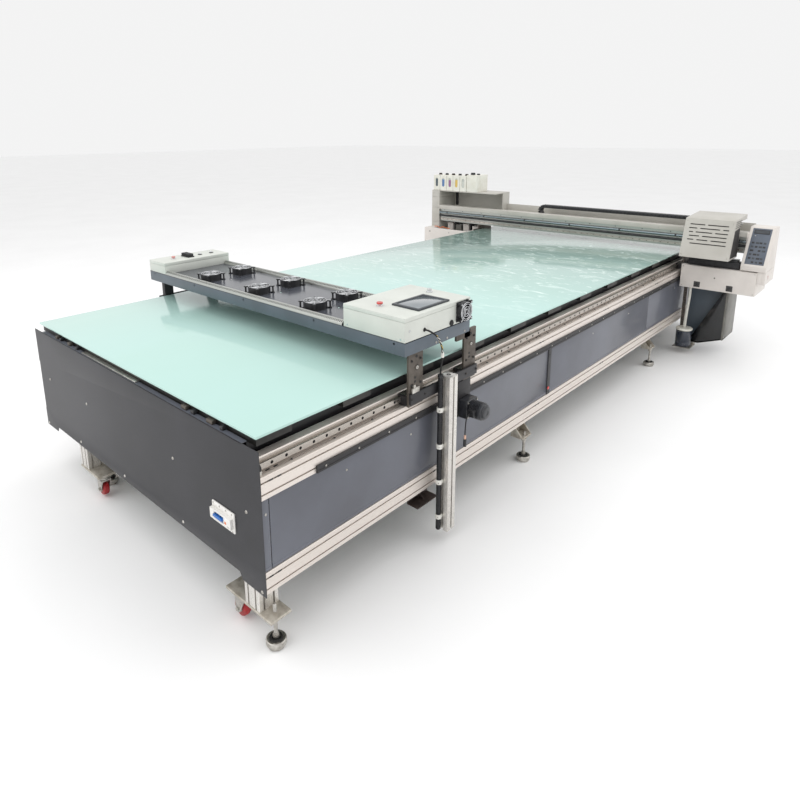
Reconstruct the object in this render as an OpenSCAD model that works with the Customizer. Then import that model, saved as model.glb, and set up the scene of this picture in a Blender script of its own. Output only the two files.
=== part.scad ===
// Large flatbed inkjet printer: a glass bed on an aluminium profile table, a drying gantry with
// six fans and a print gantry with a travelling ink carriage. Millimetres, Z up, floor at Z = 0.
// X runs across the bed (operator side is +X), Y along it (loading end is -Y).

/* [Node] */
// which piece to draw

/* [Table] */
// length of the table over its end panels
table_l = 5300; // [5200:20:5400]
// width of the table over its side beams
table_w = 2068; // [2060:2:2072]
// height of the bed's upper face above the floor
bed_z = 868; // [864:1:872]
// width of the glass bed
glass_w = 2000; // [1980:5:2010]
// thickness of the glass bed
glass_t = 10; // [8:1:12]
// side of the beam profile
beam_a = 90; // [88:1:92]
// width of the grooved slats under the glass
slat_w = 160; // [120:10:200]
// underside of the lower beams
low_z = 260; // [255:1:265]

/* [Guides] */
// height of the side rail's centre line
rail_z = 756; // [755:0.5:757]
// width of the side rail across its hole face
rail_h = 24; // [22:1:26]
// thickness of the side rail
rail_t = 22; // [20:1:24]
// spacing of the rail's screw holes
rail_pitch = 66; // [60:1:80]

/* [Dryer gantry] */
// near face of the dryer gantry, measured from the near end panel
dry_y = 717; // [700:1:760]
// depth of the dryer gantry along the bed
dry_d = 465; // [460:1:480]
// right hand end of the dryer gantry, from the middle of the table
dry_hw = 1080; // [1076:1:1084]
// left hand end of the dryer gantry, from the middle of the table
dry_lw = 1040; // [1038:1:1041]
// underside of the dryer gantry
dry_z = 982; // [978:1:986]
// side of a deck fan
fan_a = 120; // [110:1:124]
// radius of the drive wheel
wheel_r = 40; // [36:1:40]

/* [Print gantry] */
// near face of the print gantry's beam, measured from the near end panel
prt_y = 4467; // [4440:1:4500]
// half width of the print gantry over its end housings
prt_hw = 1665; // [1660:1:1670]
// underside of the print gantry's beam
prt_z = 908; // [904:1:912]
// width of the carriage cover
cover_w = 360; // [340:2:370]

/* [Hidden] */
$fn = 48;
brk_d = 30;                                 // how far the breaker stands off the near panel
yn = -(table_l + brk_d) / 2 + brk_d;        // near face of the near end panel
yf = yn + table_l;                          // far face of the far end panel
hw = table_w / 2;                           // outer face of the side beams
panel_t = 3;
up_z = 640;                                 // underside of the upper beams
up_top = up_z + beam_a;
low_top = low_z + beam_a;
seat_x = hw - 46;                           // outer face of the rail seat
rail_x = seat_x + rail_t;                   // outer face of the side rail
plate_x = hw + 12;                          // inner face of the gantries' side plates
plate_t = 12;
strip_z = 642;
strip_t = 10;
dy = yn + dry_y;
deck_z = dry_z + 60;
box_w = 360;
lbox_w = 190;
py = yn + prt_y;
foot_y = [yn + 50, yn + 1880, yn + 3900, yf - 50];
foot_x = hw - 24;
leg_x = hw - 100;                           // centre line of the end legs
left_leg_x = -560;                          // centre line of the near left leg
foot_xy = concat([[left_leg_x, yn + 130]], [for (y = foot_y) [foot_x, y]],
                 [for (i = [1:3]) [-foot_x, foot_y[i]]]);
caster_xy = [[-445, yn + 50], [812, yn + 50]];
caster_z = 50;
dry_arm = [dy + 100, dy + 505];             // centre of each dryer bearing block
prt_arm = [py - 40, py + 200];
fan_xy = [for (y = [dy + 115, dy + 335]) for (x = [-519, -50, 404]) [x, y]];
post_y = dy + 280;
side_fan = [dry_hw, dy + 400, deck_z + 54];
stop_p = [870, dy + 78, deck_z + 106];      // button seats: operator box, then left box
start_p = [885, dy + 410, deck_z + 106];
left_p = [-dry_lw + 105, dy + 110, deck_z + 70];
conduit_x = plate_x + 42;
conduit_y = post_y - 44;
wheel_y = dy + 468;
wheel_z = strip_z - wheel_r - 0.2;
cov_x = 1070;
cov_z = 880;
brail_z = 933;                              // centre line of the beam rail
lead_route = [[1081, dy + 128, 1071], [1102, dy + 134, 1068], [1120, dy + 160, 1044],
              [1122, dy + 190, 1000], [1110, dy + 218, 940], [1094, dy + 232, 886],
              [conduit_x, conduit_y, 858], [conduit_x, conduit_y, 840]];
sensor_route = [[1135, dy + 406, 602], [1135, dy + 394, 602], [1135, dy + 379, 590],
                [1135, dy + 373, 562], [1135, dy + 370, 525], [1135, dy + 370, 490]];
bottle_x = 1105;
bottle_y = py - 45;
tube_route = [[bottle_x + 13, bottle_y, 600], [bottle_x + 13, bottle_y, 560],
              [bottle_x + 11, bottle_y, 470], [bottle_x + 5, bottle_y, 370],
              [bottle_x, bottle_y, 260], [bottle_x, bottle_y, 222]];
tank_x = [for (i = [0:4]) -1652 + i * 88];
chain_x = -340;
chain_z = 1100.5;

// box from its lowest corner to its highest
module blk(a, b) { translate(a) cube([b[0] - a[0], b[1] - a[1], b[2] - a[2]]); }
// round bar along an axis, from point p over length h
module rod_x(p, r, h) { translate(p) rotate([0, 90, 0]) cylinder(r = r, h = h); }
module rod_y(p, r, h) { translate(p) rotate([-90, 0, 0]) cylinder(r = r, h = h); }
module rod_z(p, r, h) { translate(p) cylinder(r = r, h = h); }
// the same piece on both sides of the table
module both() { children(); mirror([1, 0, 0]) children(); }

// square profile section with two slots on each face
module profile2d(a) {
    difference() {
        square([a, a]);
        for (s = [a / 4, 3 * a / 4]) {
            for (f = [-1, a - 5]) {
                translate([s - 5, f]) square([10, 6]);
                translate([f, s - 5]) square([6, 10]);
            }
            for (f = [5, a - 11]) {
                translate([s - 9, f]) square([18, 6]);
                translate([f, s - 9]) square([6, 18]);
            }
        }
        translate([a / 2 - 6, a / 2 - 6]) square([12, 12]);
    }
}
// square profile section with one slot on each face
module profile1d(a) {
    difference() {
        square([a, a]);
        for (f = [-1, a - 4]) {
            translate([a / 2 - 4, f]) square([8, 5]);
            translate([f, a / 2 - 4]) square([5, 8]);
        }
    }
}
// beam along Y: p is the lowest near corner
module beam_y(p, a, len) {
    translate([p[0], p[1] + len, p[2]]) rotate([90, 0, 0]) linear_extrude(len) profile2d(a);
}
// lighter beam along X
module beam_x(p, a, len) {
    translate(p) rotate([90, 0, 90]) linear_extrude(len) profile1d(a);
}

module upper_beams() { color("silver") both() {
    beam_y([hw - beam_a, yn + panel_t, up_z], beam_a, table_l - 2 * panel_t);
    blk([hw - beam_a, yn + panel_t, up_top], [seat_x, yf - panel_t, up_top + 50]);
} }

module lower_beams() { color("silver") both()
    beam_y([hw - beam_a, yn + panel_t, low_z], beam_a, table_l - 2 * panel_t);
}

module cross_members() { color("silver") {
    for (y = [yn + 60, yn + 1300, yn + 2600, yn + 3950, yf - 120]) {
        beam_x([-(hw - beam_a), y, up_z + 10], 60, table_w - 2 * beam_a);
        beam_x([-(hw - beam_a), y, low_z + 10], 60, table_w - 2 * beam_a);
    }
    both() for (y = [yn + 60, yn + 1300, yn + 2600, yn + 3950, yf - 120])
        translate([hw - beam_a, y, low_top]) linear_extrude(up_z - low_top) profile1d(60);
} }

// corner leg with the plate that takes its levelling foot, bored for the foot's stem
module corner_leg(x0) { difference() {
    union() {
        translate([leg_x - 45, -45, 150]) linear_extrude(low_z - 150) profile2d(90);
        blk([x0, -48, 138], [foot_x + 40, 48, 150]);
    }
    rod_z([foot_x, 0, 130], 8.1, 30);
} }
// angle bracket under a beam, with a gusset, for a middle levelling foot
module mid_bracket() { difference() {
    union() {
        blk([foot_x - 60, -50, 150], [foot_x + 20, 50, 160]);
        blk([foot_x - 60, -50, 160], [foot_x - 50, 50, low_z]);
        for (y = [-44, 50]) translate([foot_x - 50, y, 160]) rotate([90, 0, 0])
            linear_extrude(6) polygon([[0, 0], [64, 0], [0, 64]]);
    }
    rod_z([foot_x, 0, 140], 8.1, 30);
} }
module legs() { color("silver") {
    translate([0, foot_y[0], 0]) corner_leg(caster_xy[1][0] - 52);
    both() {
        translate([0, foot_y[3], 0]) corner_leg(leg_x - 50);
        for (i = [1, 2]) translate([0, foot_y[i], 0]) mid_bracket();
        blk([leg_x + 20, yn + 880, 168], [leg_x + 90, yn + 1030, 176]);
        blk([leg_x + 20, yn + 880, 176], [leg_x + 28, yn + 1030, low_z]);
    }
    difference() {
        union() {
            translate([left_leg_x - 45, yn + 5, 150]) linear_extrude(low_z + 10 - 150) profile2d(90);
            blk([left_leg_x - 50, yn + 2, 138], [caster_xy[0][0] + 50, yn + 170, 150]);
        }
        rod_z([left_leg_x, yn + 130, 130], 8.1, 30);
    }
} }

// threaded stem, lock nut under the plate and cup foot
module levelling_feet() { color("dimgray") for (f = foot_xy) translate([f[0], f[1], 0]) {
    rod_z([0, 0, 34], 8, 150);
    translate([0, 0, 124]) cylinder(r = 15, h = 14, $fn = 6);
    translate([0, 0, 34]) cylinder(r1 = 38, r2 = 14, h = 14);
    rod_z([0, 0, 8], 40, 26);
    rod_z([0, 0, 0], 34, 8);
} }

module bed_glass() { color("paleturquoise", 0.8)
    blk([-glass_w / 2, yn + 17, bed_z - glass_t], [glass_w / 2, yf - 17, bed_z]);
}

// long bars, cross slats and lighter ribs that fill the space under the glass
module bed_supports() { color("dimgray") {
    top = bed_z - glass_t;
    step = (table_l - 60 - slat_w) / 12;
    for (s = [-1, 1]) blk([s * 900 - 22, yn + 30, up_z + 70], [s * 900 + 22, yf - 30, top]);
    for (i = [0:12]) blk([-984, yn + 30 + i * step, top - 36], [984, yn + 30 + i * step + slat_w, top]);
    for (x = [-600, -300, 0, 300, 600])
        for (i = [0:11]) {
            y = yn + 30 + slat_w + i * step;
            blk([x - 15, y, top - 32], [x + 15, y + step - slat_w, top - 4]);
        }
} }

// sheets with a folded lip on top and a tab at each lower corner
module end_panels() { color("slategray")
    for (e = [0, 1]) {
        y0 = e == 0 ? yn : yf - panel_t;
        difference() {
            union() {
                blk([-hw, y0, 276], [hw, y0 + panel_t, 830]);
                for (s = [-1, 1]) blk([s * (hw - 75) - 75, y0, 248], [s * (hw - 75) + 75, y0 + panel_t, 276.5]);
                yl = e == 0 ? yn : yf - 26;
                blk([-hw + 100, yl, 827], [hw - 100, yl + 26, 830]);
            }
            if (e == 0) blk([725, yn - 1, 440], [865, yn + panel_t + 1, 515]);
        }
    }
}

module side_panels() { color("slategray") both() {
    for (i = [0:3]) {
        a = [yn + 3.5, yn + 38, yn + 2120, yn + 3700][i];
        b = [yn + 35, yn + 2080, yn + 3697, yf - 3.5][i];
        blk([hw - 8, a, low_top + 12], [hw - 5, b, up_z - 1]);
        blk([hw - 30, a, low_top + 0.5], [hw - 5, b, low_top + 12.5]);
        blk([hw - 28, a, up_z - 30], [hw - 8, b, up_z]);
    }
} }

module panel_posts() { color("black") both() {
    blk([hw - 18, yn + 2082, low_top + 0.5], [hw, yn + 2118, up_z]);
    rod_x([hw - 0.5, yn + 2096, low_top + 40], 10, 4.5);
} }

// square rail with a groove above and below and counterbored screw holes
module guide_rails() { color("silver") both() difference() {
    blk([seat_x, yn + 20, rail_z - rail_h / 2], [rail_x, yf - 20, rail_z + rail_h / 2]);
    for (s = [-1, 1]) blk([seat_x + 8, yn + 19, rail_z + s * rail_h / 2 - 2.5],
                          [seat_x + 14, yf - 19, rail_z + s * rail_h / 2 + 2.5]);
    for (i = [0:floor((table_l - 130) / rail_pitch)])
        rod_x([rail_x - 9, yn + 73 + i * rail_pitch, rail_z], 6.5, 10);
} }

module drive_strips() { color("dimgray") both()
    difference() {
        blk([hw, yn + 255, strip_z], [hw + strip_t, yf - 60, strip_z + 30]);
        blk([hw + strip_t - 2, yn + 254, strip_z + 10], [hw + strip_t + 1, yf - 59, strip_z + 20]);
    }
}

module end_stops() { color("black") both() for (e = [0, 1]) {
    y = e == 0 ? yn + 4 : yf - 18;
    rod_y([seat_x + 19.3, y, rail_z], 19, 14);
    blk([seat_x, y, up_top], [seat_x + 38, y + 14, rail_z - 6]);
} }

module panel_screws() { color("gainsboro") {
    for (p = [[-900, 560], [-420, 560], [430, 580], [940, 560], [-560, 300], [-60, 300], [470, 300],
              [1010, 262], [-1010, 262]])
        rod_y([p[0], yn - 3, p[1]], 7, 3);
    both() for (y = [yn + 20, yn + 420, yn + 820, yn + 1300, yn + 2700, yn + 3300, yn + 4300])
        rod_x([hw - 5, y, up_z - 60], 5, 2.5);
} }

module breaker_body() { color("whitesmoke") difference() {
    union() {
        blk([722, yn - 8, 435], [868, yn, 520]);
        blk([727, yn - 1, 442], [863, yn + 26, 513]);
        blk([727, yn - 22, 456], [863, yn - 8, 499]);
    }
    blk([756, yn - 24, 464], [817, yn - 4, 491]);
} }
module breaker_lever() { color("royalblue") {
    for (x = [758, 778, 798]) {
        rod_x([x, yn - 10, 477.5], 5, 17);
        blk([x, yn - 27, 474], [x + 17, yn - 10, 483]);
    }
    blk([758, yn - brk_d, 476], [815, yn - 24, 486]);
    rod_x([756.3, yn - 10, 477.5], 3, 60.4);
} }

// swivel fork: race, cross plate, two tapered cheeks, wheel pin and brake pedal
module caster_fork(c) { translate([c[0], c[1], 0]) {
    rod_z([0, 0, 112], 34, 25.7);
    for (y = [24.5, -19.5]) translate([0, y, 0]) rotate([90, 0, 0]) linear_extrude(5)
        polygon([[-34, 113], [-26, 40], [2, 40], [34, 113]]);
    blk([-34, -24.5, 104], [32, 24.5, 113]);
    rod_y([-12, -27, caster_z], 6, 54);
    blk([-70, -14, 92], [-33, 14, 97]);
    blk([-38, -14, 92], [-33, 14, 112]);
} }
module caster_wheel(c) { translate([c[0] - 12, c[1], caster_z]) difference() {
    union() {
        rod_y([0, -16, 0], 38, 32);
        rod_y([0, -19, 0], 16, 38);
    }
    rod_y([0, -20, 0], 6.1, 40);
    for (s = [-1, 1]) difference() {
        rod_y([0, s * 15 - 3, 0], 28, 6);
        rod_y([0, s * 15 - 4, 0], 16, 8);
    }
} }
module caster_fork_left() { color("gainsboro") caster_fork(caster_xy[0]); }
module caster_fork_right() { color("gainsboro") caster_fork(caster_xy[1]); }
module caster_wheel_left() { color("firebrick") caster_wheel(caster_xy[0]); }
module caster_wheel_right() { color("firebrick") caster_wheel(caster_xy[1]); }

// sheet channel frame, open above and below between its ribs
module dryer_frame() { color("slategray") {
    difference() {
        blk([-dry_lw, dy, dry_z], [dry_hw, dy + dry_d, deck_z - 3]);
        blk([-dry_lw + 4, dy + 4, dry_z + 4], [dry_hw - 4, dy + dry_d - 4, deck_z]);
        blk([-dry_lw + 150, dy + 60, dry_z - 1], [dry_hw - 150, dy + dry_d - 60, dry_z + 5]);
    }
    for (x = [-720, -240, 240, 720]) blk([x - 2, dy + 4, dry_z + 4], [x + 2, dy + dry_d - 4, deck_z - 3]);
} }

module dryer_deck() { color("darkslategray") {
    difference() {
        blk([-dry_lw, dy, deck_z - 3], [dry_hw, dy + dry_d, deck_z]);
        for (f = fan_xy) rod_z([f[0], f[1], deck_z - 4], fan_a / 2 - 6, 5);
    }
    for (y = [dy + 21, dy + dry_d - 21]) translate([-dry_lw + lbox_w, y, deck_z]) rotate([90, 0, 90])
        linear_extrude(dry_lw + dry_hw - lbox_w - box_w) difference() {
            circle(r = 20);
            circle(r = 18);
            translate([-30, -40]) square([60, 40]);
        }
} }

// square fan housing with a round throat, hub plate, stay bars and ring guard
module fan_frame(a, h) {
    difference() {
        translate([-a / 2, -a / 2, 0]) cube([a, a, h]);
        translate([0, 0, -1]) cylinder(r = a / 2 - 4, h = h + 2);
        for (s = [-1, 1]) for (t = [-1, 1])
            translate([s * (a / 2 - 7), t * (a / 2 - 7), -1]) cylinder(r = 2.5, h = h + 2);
        for (q = [0:3]) rotate(q * 90)
            translate([a / 2 - 2, -a / 2 + 18, 5]) cube([3, a - 36, h - 10]);
    }
    cylinder(r = a / 5, h = 4);
    for (q = [0:3]) rotate(q * 90 + 45) translate([a / 5 - 1, -2.5, 0]) cube([a * 0.3 - 1, 5, 4]);
    for (r = [a / 8, a / 4, a * 3 / 8, a / 2 - 3]) translate([0, 0, h]) difference() {
        cylinder(r = r, h = 2);
        translate([0, 0, -1]) cylinder(r = r - 2, h = 4);
    }
    for (q = [0, 1]) rotate(q * 90 + 45) translate([-a * 0.62, -1.2, h]) cube([a * 1.24, 2.4, 2]);
}
module fan_rotor(a, h) {
    translate([0, 0, 4.5]) cylinder(r = a / 5 - 1, h = h - 8);
    for (i = [0:6]) rotate(i * 360 / 7) translate([a / 5 - 3, -2, h / 2 + 1]) rotate([40, 0, 0])
        translate([0, -a * 0.13, -1.2]) cube([a * 0.27, a * 0.26, 2.4]);
}
module at_side_fan() { translate(side_fan) rotate([0, 90, 0]) children(); }
module fan_frames() { color("#202226") {
    for (f = fan_xy) translate([f[0], f[1], deck_z]) fan_frame(fan_a, 38);
    at_side_fan() fan_frame(92, 25);
} }
module deck_rotor(i) { color("#303338") translate([fan_xy[i][0], fan_xy[i][1], deck_z]) fan_rotor(fan_a, 38); }
module fan_rotor_1() { deck_rotor(0); }
module fan_rotor_2() { deck_rotor(1); }
module fan_rotor_3() { deck_rotor(2); }
module fan_rotor_4() { deck_rotor(3); }
module fan_rotor_5() { deck_rotor(4); }
module fan_rotor_6() { deck_rotor(5); }
module side_fan_rotor() { color("#303338") at_side_fan() fan_rotor(92, 25); }

// push button parts: bored collar on the box, and the moving cap
module collar(p) { difference() { rod_z(p, 15, 4); rod_z(p - [0, 0, 1], 8, 6); } }
module cap(p, r) { rod_z(p - [0, 0, 8], 7.9, 17); rod_z(p + [0, 0, 8], r, 9); }
// operator box: button bores, screen recess and the lead's outlet
module control_box() { color("white") {
    difference() {
        blk([dry_hw - box_w, dy, deck_z], [dry_hw, dy + dry_d, deck_z + 106]);
        for (p = [stop_p, start_p]) rod_z([p[0], p[1], p[2] - 14], 8, 15);
        blk([dry_hw - 178, dy + 120, deck_z + 102], [dry_hw - 26, dy + 340, deck_z + 107]);
    }
    for (p = [stop_p, start_p]) collar(p);
    rod_x([dry_hw, dy + 320, deck_z + 14], 14, 7);
    rod_x([dry_hw, dy + 128, 1071], 8, 1);
} }
module touch_screen() { color("#3a3d42") difference() {
    blk([dry_hw - 178, dy + 120, deck_z + 102], [dry_hw - 26, dy + 340, deck_z + 114]);
    blk([dry_hw - 164, dy + 136, deck_z + 111], [dry_hw - 40, dy + 324, deck_z + 115]);
} }
module stop_button() { color("crimson") cap(stop_p, 14); }
module start_button() { color("silver") cap(start_p, 11); }

module left_box() { color("white") {
    difference() {
        blk([-dry_lw, dy, deck_z], [-dry_lw + lbox_w, dy + dry_d, deck_z + 70]);
        rod_z([left_p[0], left_p[1], left_p[2] - 14], 8, 15);
    }
    collar(left_p);
    blk([left_p[0] - 50, dy + 190, deck_z + 70], [left_p[0] + 40, dy + 235, deck_z + 92]);
    for (y = [dy + 300, dy + 385]) {
        rod_z([left_p[0], y, deck_z + 70], 14, 4);
        rod_z([left_p[0], y, deck_z + 74], 10, 8);
    }
} }
module left_button() { color("lightcoral") cap(left_p, 12); }

// side plates that carry the dryer frame: tall ones beside the bed on the right, where they also
// hold the motor, and low ones on the left with two feet that rise past the edge of the glass
module dryer_legs() { color("gainsboro") {
    for (y = dry_arm) {
        blk([plate_x, y - 48, 732], [plate_x + plate_t, y + 48, dry_z]);
        blk([-plate_x - plate_t, y - 48, 732], [-plate_x, y + 48, 862]);
    }
    blk([plate_x - 30, dry_arm[0] - 48, dry_z - 10], [plate_x + 1, dry_arm[0] + 48, dry_z]);
    blk([plate_x, dy + dry_d - 70, dry_z - 40], [plate_x + plate_t, dry_arm[1], dry_z]);
    both() blk([plate_x + plate_t, dry_arm[0] - 48, 745], [plate_x + 24, dry_arm[1] + 48, 795]);
    blk([-plate_x - plate_t, dry_arm[0] - 48, 820], [-plate_x, dry_arm[1] + 48, 862]);
    for (y = [dy + 100, dy + 400]) {
        blk([-plate_x - 1, y - 30, 850], [-1006, y + 30, 862]);
        blk([-dry_lw, y - 30, 861], [-1006, y + 30, dry_z]);
    }
    difference() {
        blk([plate_x, wheel_y - 50, wheel_z - 46], [plate_x + plate_t, wheel_y + 50, 733]);
        rod_x([plate_x - 1, wheel_y, wheel_z], 8.1, 20);
    }
    for (y = dry_arm) for (z = [830, 940]) for (k = [-30, 30])
        rod_x([plate_x + plate_t, y + k, z], 8, 6);
} }

// bearing block that wraps the rail from outside
module block_on_rail(y, l) { difference() {
    blk([seat_x + 5, y - l / 2, rail_z - 25], [plate_x, y + l / 2, rail_z + 25]);
    blk([seat_x + 4, y - l / 2 - 1, rail_z - rail_h / 2 - 0.05],
        [rail_x + 0.05, y + l / 2 + 1, rail_z + rail_h / 2 + 0.05]);
} }
module dryer_blocks() { color("silver") both() for (y = dry_arm) block_on_rail(y, 90); }

module dryer_post() { color("gainsboro") {
    translate([plate_x + 24, post_y - 30, 55]) linear_extrude(770) profile1d(60);
    blk([plate_x + 24, post_y - 30, 825], [plate_x + 84, post_y + 30, 829]);
    for (z = [120, 300, 480, 660]) difference() {
        blk([conduit_x - 15, conduit_y - 16, z], [conduit_x + 15, post_y - 30, z + 22]);
        rod_z([conduit_x, conduit_y, z - 1], 12.1, 24);
    }
} }

module dryer_motor() { color("#1d1e21") {
    difference() {
        blk([plate_x + plate_t, wheel_y - 45, wheel_z - 45], [plate_x + 60, wheel_y + 45, wheel_z + 45]);
        rod_x([plate_x + plate_t - 1, wheel_y, wheel_z], 8.1, 20);
    }
    rod_x([plate_x + 60, wheel_y, wheel_z], 40, 72);
    for (x = [0:5]) rod_x([plate_x + 66 + x * 10, wheel_y, wheel_z], 44, 4);
    rod_x([plate_x + 132, wheel_y, wheel_z], 32, 10);
    blk([plate_x + 70, wheel_y - 62, wheel_z - 16], [plate_x + 108, wheel_y - 38, wheel_z + 16]);
} }
module drive_wheel() { color("silver") {
    rod_x([hw + 1, wheel_y, wheel_z], wheel_r, 9);
    rod_x([hw + 1, wheel_y, wheel_z], 8, 28);
} }

// ribbed cable conduit held beside the post
module conduit() { color("#17181a") {
    rod_z([conduit_x, conduit_y, 62], 10, 760);
    for (i = [0:50]) rod_z([conduit_x, conduit_y, 66 + i * 15], 12, 7);
    rod_z([conduit_x, conduit_y, 820], 13, 20);
} }

// tube swept through route points: smooth curve, rings of n points
function lerp_pt(p, i, t) =
    let (a = p[max(i - 1, 0)], b = p[i], c = p[i + 1], d = p[min(i + 2, len(p) - 1)])
    0.5 * (2 * b + (c - a) * t + (2 * a - 5 * b + 4 * c - d) * t * t
           + (3 * b - a - 3 * c + d) * t * t * t);
function unit(v) = v / norm(v);
module swept(route, r, sub, n) {
    pts = [for (i = [0:len(route) - 2]) for (k = [0:sub - 1]) lerp_pt(route, i, k / sub),
           route[len(route) - 1]];
    m = len(pts);
    tan = [for (i = [0:m - 1]) unit(pts[min(i + 1, m - 1)] - pts[max(i - 1, 0)])];
    ref = [0.31, 0.62, 0.17];
    ring = [for (i = [0:m - 1]) let (u = unit(cross(tan[i], ref)), v = cross(tan[i], u))
        for (k = [0:n - 1]) pts[i] + r * (cos(360 * k / n) * u + sin(360 * k / n) * v)];
    side = [for (i = [0:m - 2]) for (k = [0:n - 1])
        [(i + 1) * n + k, (i + 1) * n + (k + 1) % n, i * n + (k + 1) % n, i * n + k]];
    ends = [[for (k = [0:n - 1]) k], [for (k = [0:n - 1]) (m - 1) * n + n - 1 - k]];
    polyhedron(ring, concat(side, ends), 10);
}
module box_lead() { color("#17181a") swept(lead_route, 4, 4, 8); }
module sensor_lead() { color("#17181a") {
    swept(sensor_route, 3, 4, 8);
    rod_z([1135, dy + 370, 450], 8, 40);
} }

// hollow box beam with two slots along its near face
module print_beam() { color("silver") difference() {
    blk([-1561, py, prt_z], [1480, py + 150, 1040]);
    blk([-1562, py + 12, prt_z + 12], [1481, py + 138, 1028]);
    blk([-1562, py - 1, 988], [1481, py + 6, 996]);
    blk([-1562, py - 1, 1010], [1481, py + 6, 1018]);
} }
module beam_cover() { color("ivory") {
    blk([-1561, py - 24, 1040], [1480, py + 56, 1082]);
    blk([-853, py + 150, 1030], [1480, py + 240, 1034]);
    blk([-853, py + 236, 1034], [1480, py + 240, 1124]);
} }
module beam_rail() { color("silver") difference() {
    blk([-1540, py - 15, brail_z - 8], [1460, py, brail_z + 8]);
    for (i = [0:49]) rod_y([-1510 + i * 60, py - 16, brail_z], 4, 6);
} }
module beam_tubes() { color("#26282c") {
    rod_x([-1561, py - 12, 968], 10, 3041);
    rod_x([-1561, py - 13, 1002], 11, 3041);
} }

// tall end cabinet and the open shelf that carries the tanks over the beam
module ink_tower() { color("whitesmoke") {
    blk([-1663, py - 20, 760], [-1561, py + 240, 1246]);
    blk([-1561, py - 10, 1236], [-853, py + 280, 1246]);
    blk([-863, py + 152, 1034], [-853, py + 280, 1236]);
    blk([-1561, py + 270, 1034], [-863, py + 280, 1236]);
    blk([-prt_hw, py + 240, 760], [-1561, py + 280, 1246]);
    blk([-prt_hw, py - 20, 760], [-1663, py + 240, 1246]);
} }
module ink_tanks() { color("whitesmoke") {
    for (x = tank_x) difference() {
        blk([x, py - 10, 1246], [x + 86, py + 190, 1412]);
        translate([x + 43, py - 11, 1302]) rotate([-90, 0, 0]) cylinder(r = 17, h = 5);
        translate([x + 43, py - 11, 1366]) rotate([-90, 0, 0]) cylinder(r = 17, h = 5);
        blk([x + 26, py - 11, 1302], [x + 60, py - 6, 1366]);
    }
    for (x = tank_x) rod_z([x + 43, py + 60, 1412], 20, 18);
    blk([-1210, py - 10, 1246], [-1075, py + 190, 1425]);
    rod_z([-1170, py + 50, 1425], 26, 22);
    rod_z([-1115, py + 70, 1425], 18, 14);
} }

// end housings outboard of the table, joined to the beam and carried by the bearing blocks
module print_base() { color("whitesmoke") {
    blk([plate_x + plate_t, py - 150, 600], [1610, py + 200, 790]);
    blk([1480, py - 110, 790], [1610, py + 200, 800]);
    blk([1480, py - 30, 800], [1490, py + 150, 1082]);
    difference() {
        union() {
            blk([-prt_hw, py - 150, 600], [-plate_x - plate_t, py + 280, 760]);
            blk([-prt_hw, py - 150, 759], [-plate_x - plate_t, py - 20, 840]);
        }
        blk([-1560, py - 120, 640], [-1120, py - 19, 841]);
    }
    both() {
        blk([plate_x, prt_arm[0] - 45, 732], [plate_x + plate_t, py + 1, bed_z - 4]);
        blk([plate_x, py, 732], [plate_x + plate_t, prt_arm[1] + 45, prt_z]);
        blk([plate_x - 30, py, prt_z - 12], [plate_x + 1, py + 150, prt_z]);
    }
    stand();
    blk([bottle_x - 65, py - 115, 54], [bottle_x + 75, py + 36, 60]);
    blk([1060, py + 30, 54], [bottle_x + 75, py + 36, 91]);
} }

// stand under the right housing: back wall, sloping floor, rib with a slanted edge, outer side
module stand() {
    floor_line = [[1060, 80], [1200, 80], [1390, 150]];
    module wall(y, t, outline) translate([0, y + t, 0]) rotate([90, 0, 0]) linear_extrude(t) polygon(outline);
    wall(py + 110, 12, concat(floor_line, [[1390, 601], [1060, 601]]));
    wall(py + 30, 90, concat(floor_line, [[1390, 162], [1198, 92], [1060, 92]]));
    wall(py + 30, 12, [[1120, 80], [1200, 80], [1390, 150], [1390, 601], [1372, 601]]);
    blk([1378, py + 20, 146], [1390, py + 340, 601]);
}

module console() { color("gainsboro") {
    translate([1490, 0, 0]) rotate([90, 0, 90]) linear_extrude(prt_hw - 1490)
        polygon([[py - 160, 800], [py - 160, 840], [py + 20, 1128], [py + 150, 1128], [py + 150, 800]]);
    difference() {
        blk([1610, py - 150, 700], [prt_hw, py + 150, 800]);
        blk([1640, py - 60, 735], [prt_hw + 1, py - 34, 761]);
    }
} }
module console_switch() { color("red") {
    rod_y([1652, py - 59.6, 748], 10, 25.2);
    blk([1645, py - 55, 748], [prt_hw - 1, py - 39, 757]);
} }
module print_blocks() { color("silver") both() for (y = prt_arm) block_on_rail(y, 90); }

module waste_bottle() { color("darkslateblue") {
    rod_z([bottle_x, bottle_y, 60], 62, 140);
    rod_z([bottle_x, bottle_y, 200], 56, 5);
    rod_z([bottle_x, bottle_y, 205], 65, 17);
} }
module waste_tube() { color("whitesmoke") swept(tube_route, 12, 4, 10); }

// cable chain: lower run on the beam, half turn, upper run to the carriage
module drag_chain() { color("#141516") {
    blk([chain_x, py + 80, chain_z - 59.5], [150, py + 140, chain_z - 29.5]);
    blk([chain_x, py + 80, chain_z + 29.5], [1110, py + 140, chain_z + 59.5]);
    translate([chain_x, py + 140, chain_z]) rotate([90, 0, 0]) linear_extrude(60) difference() {
        circle(r = 59.5);
        circle(r = 29.5);
        translate([0, -70]) square([80, 140]);
    }
} }

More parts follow.
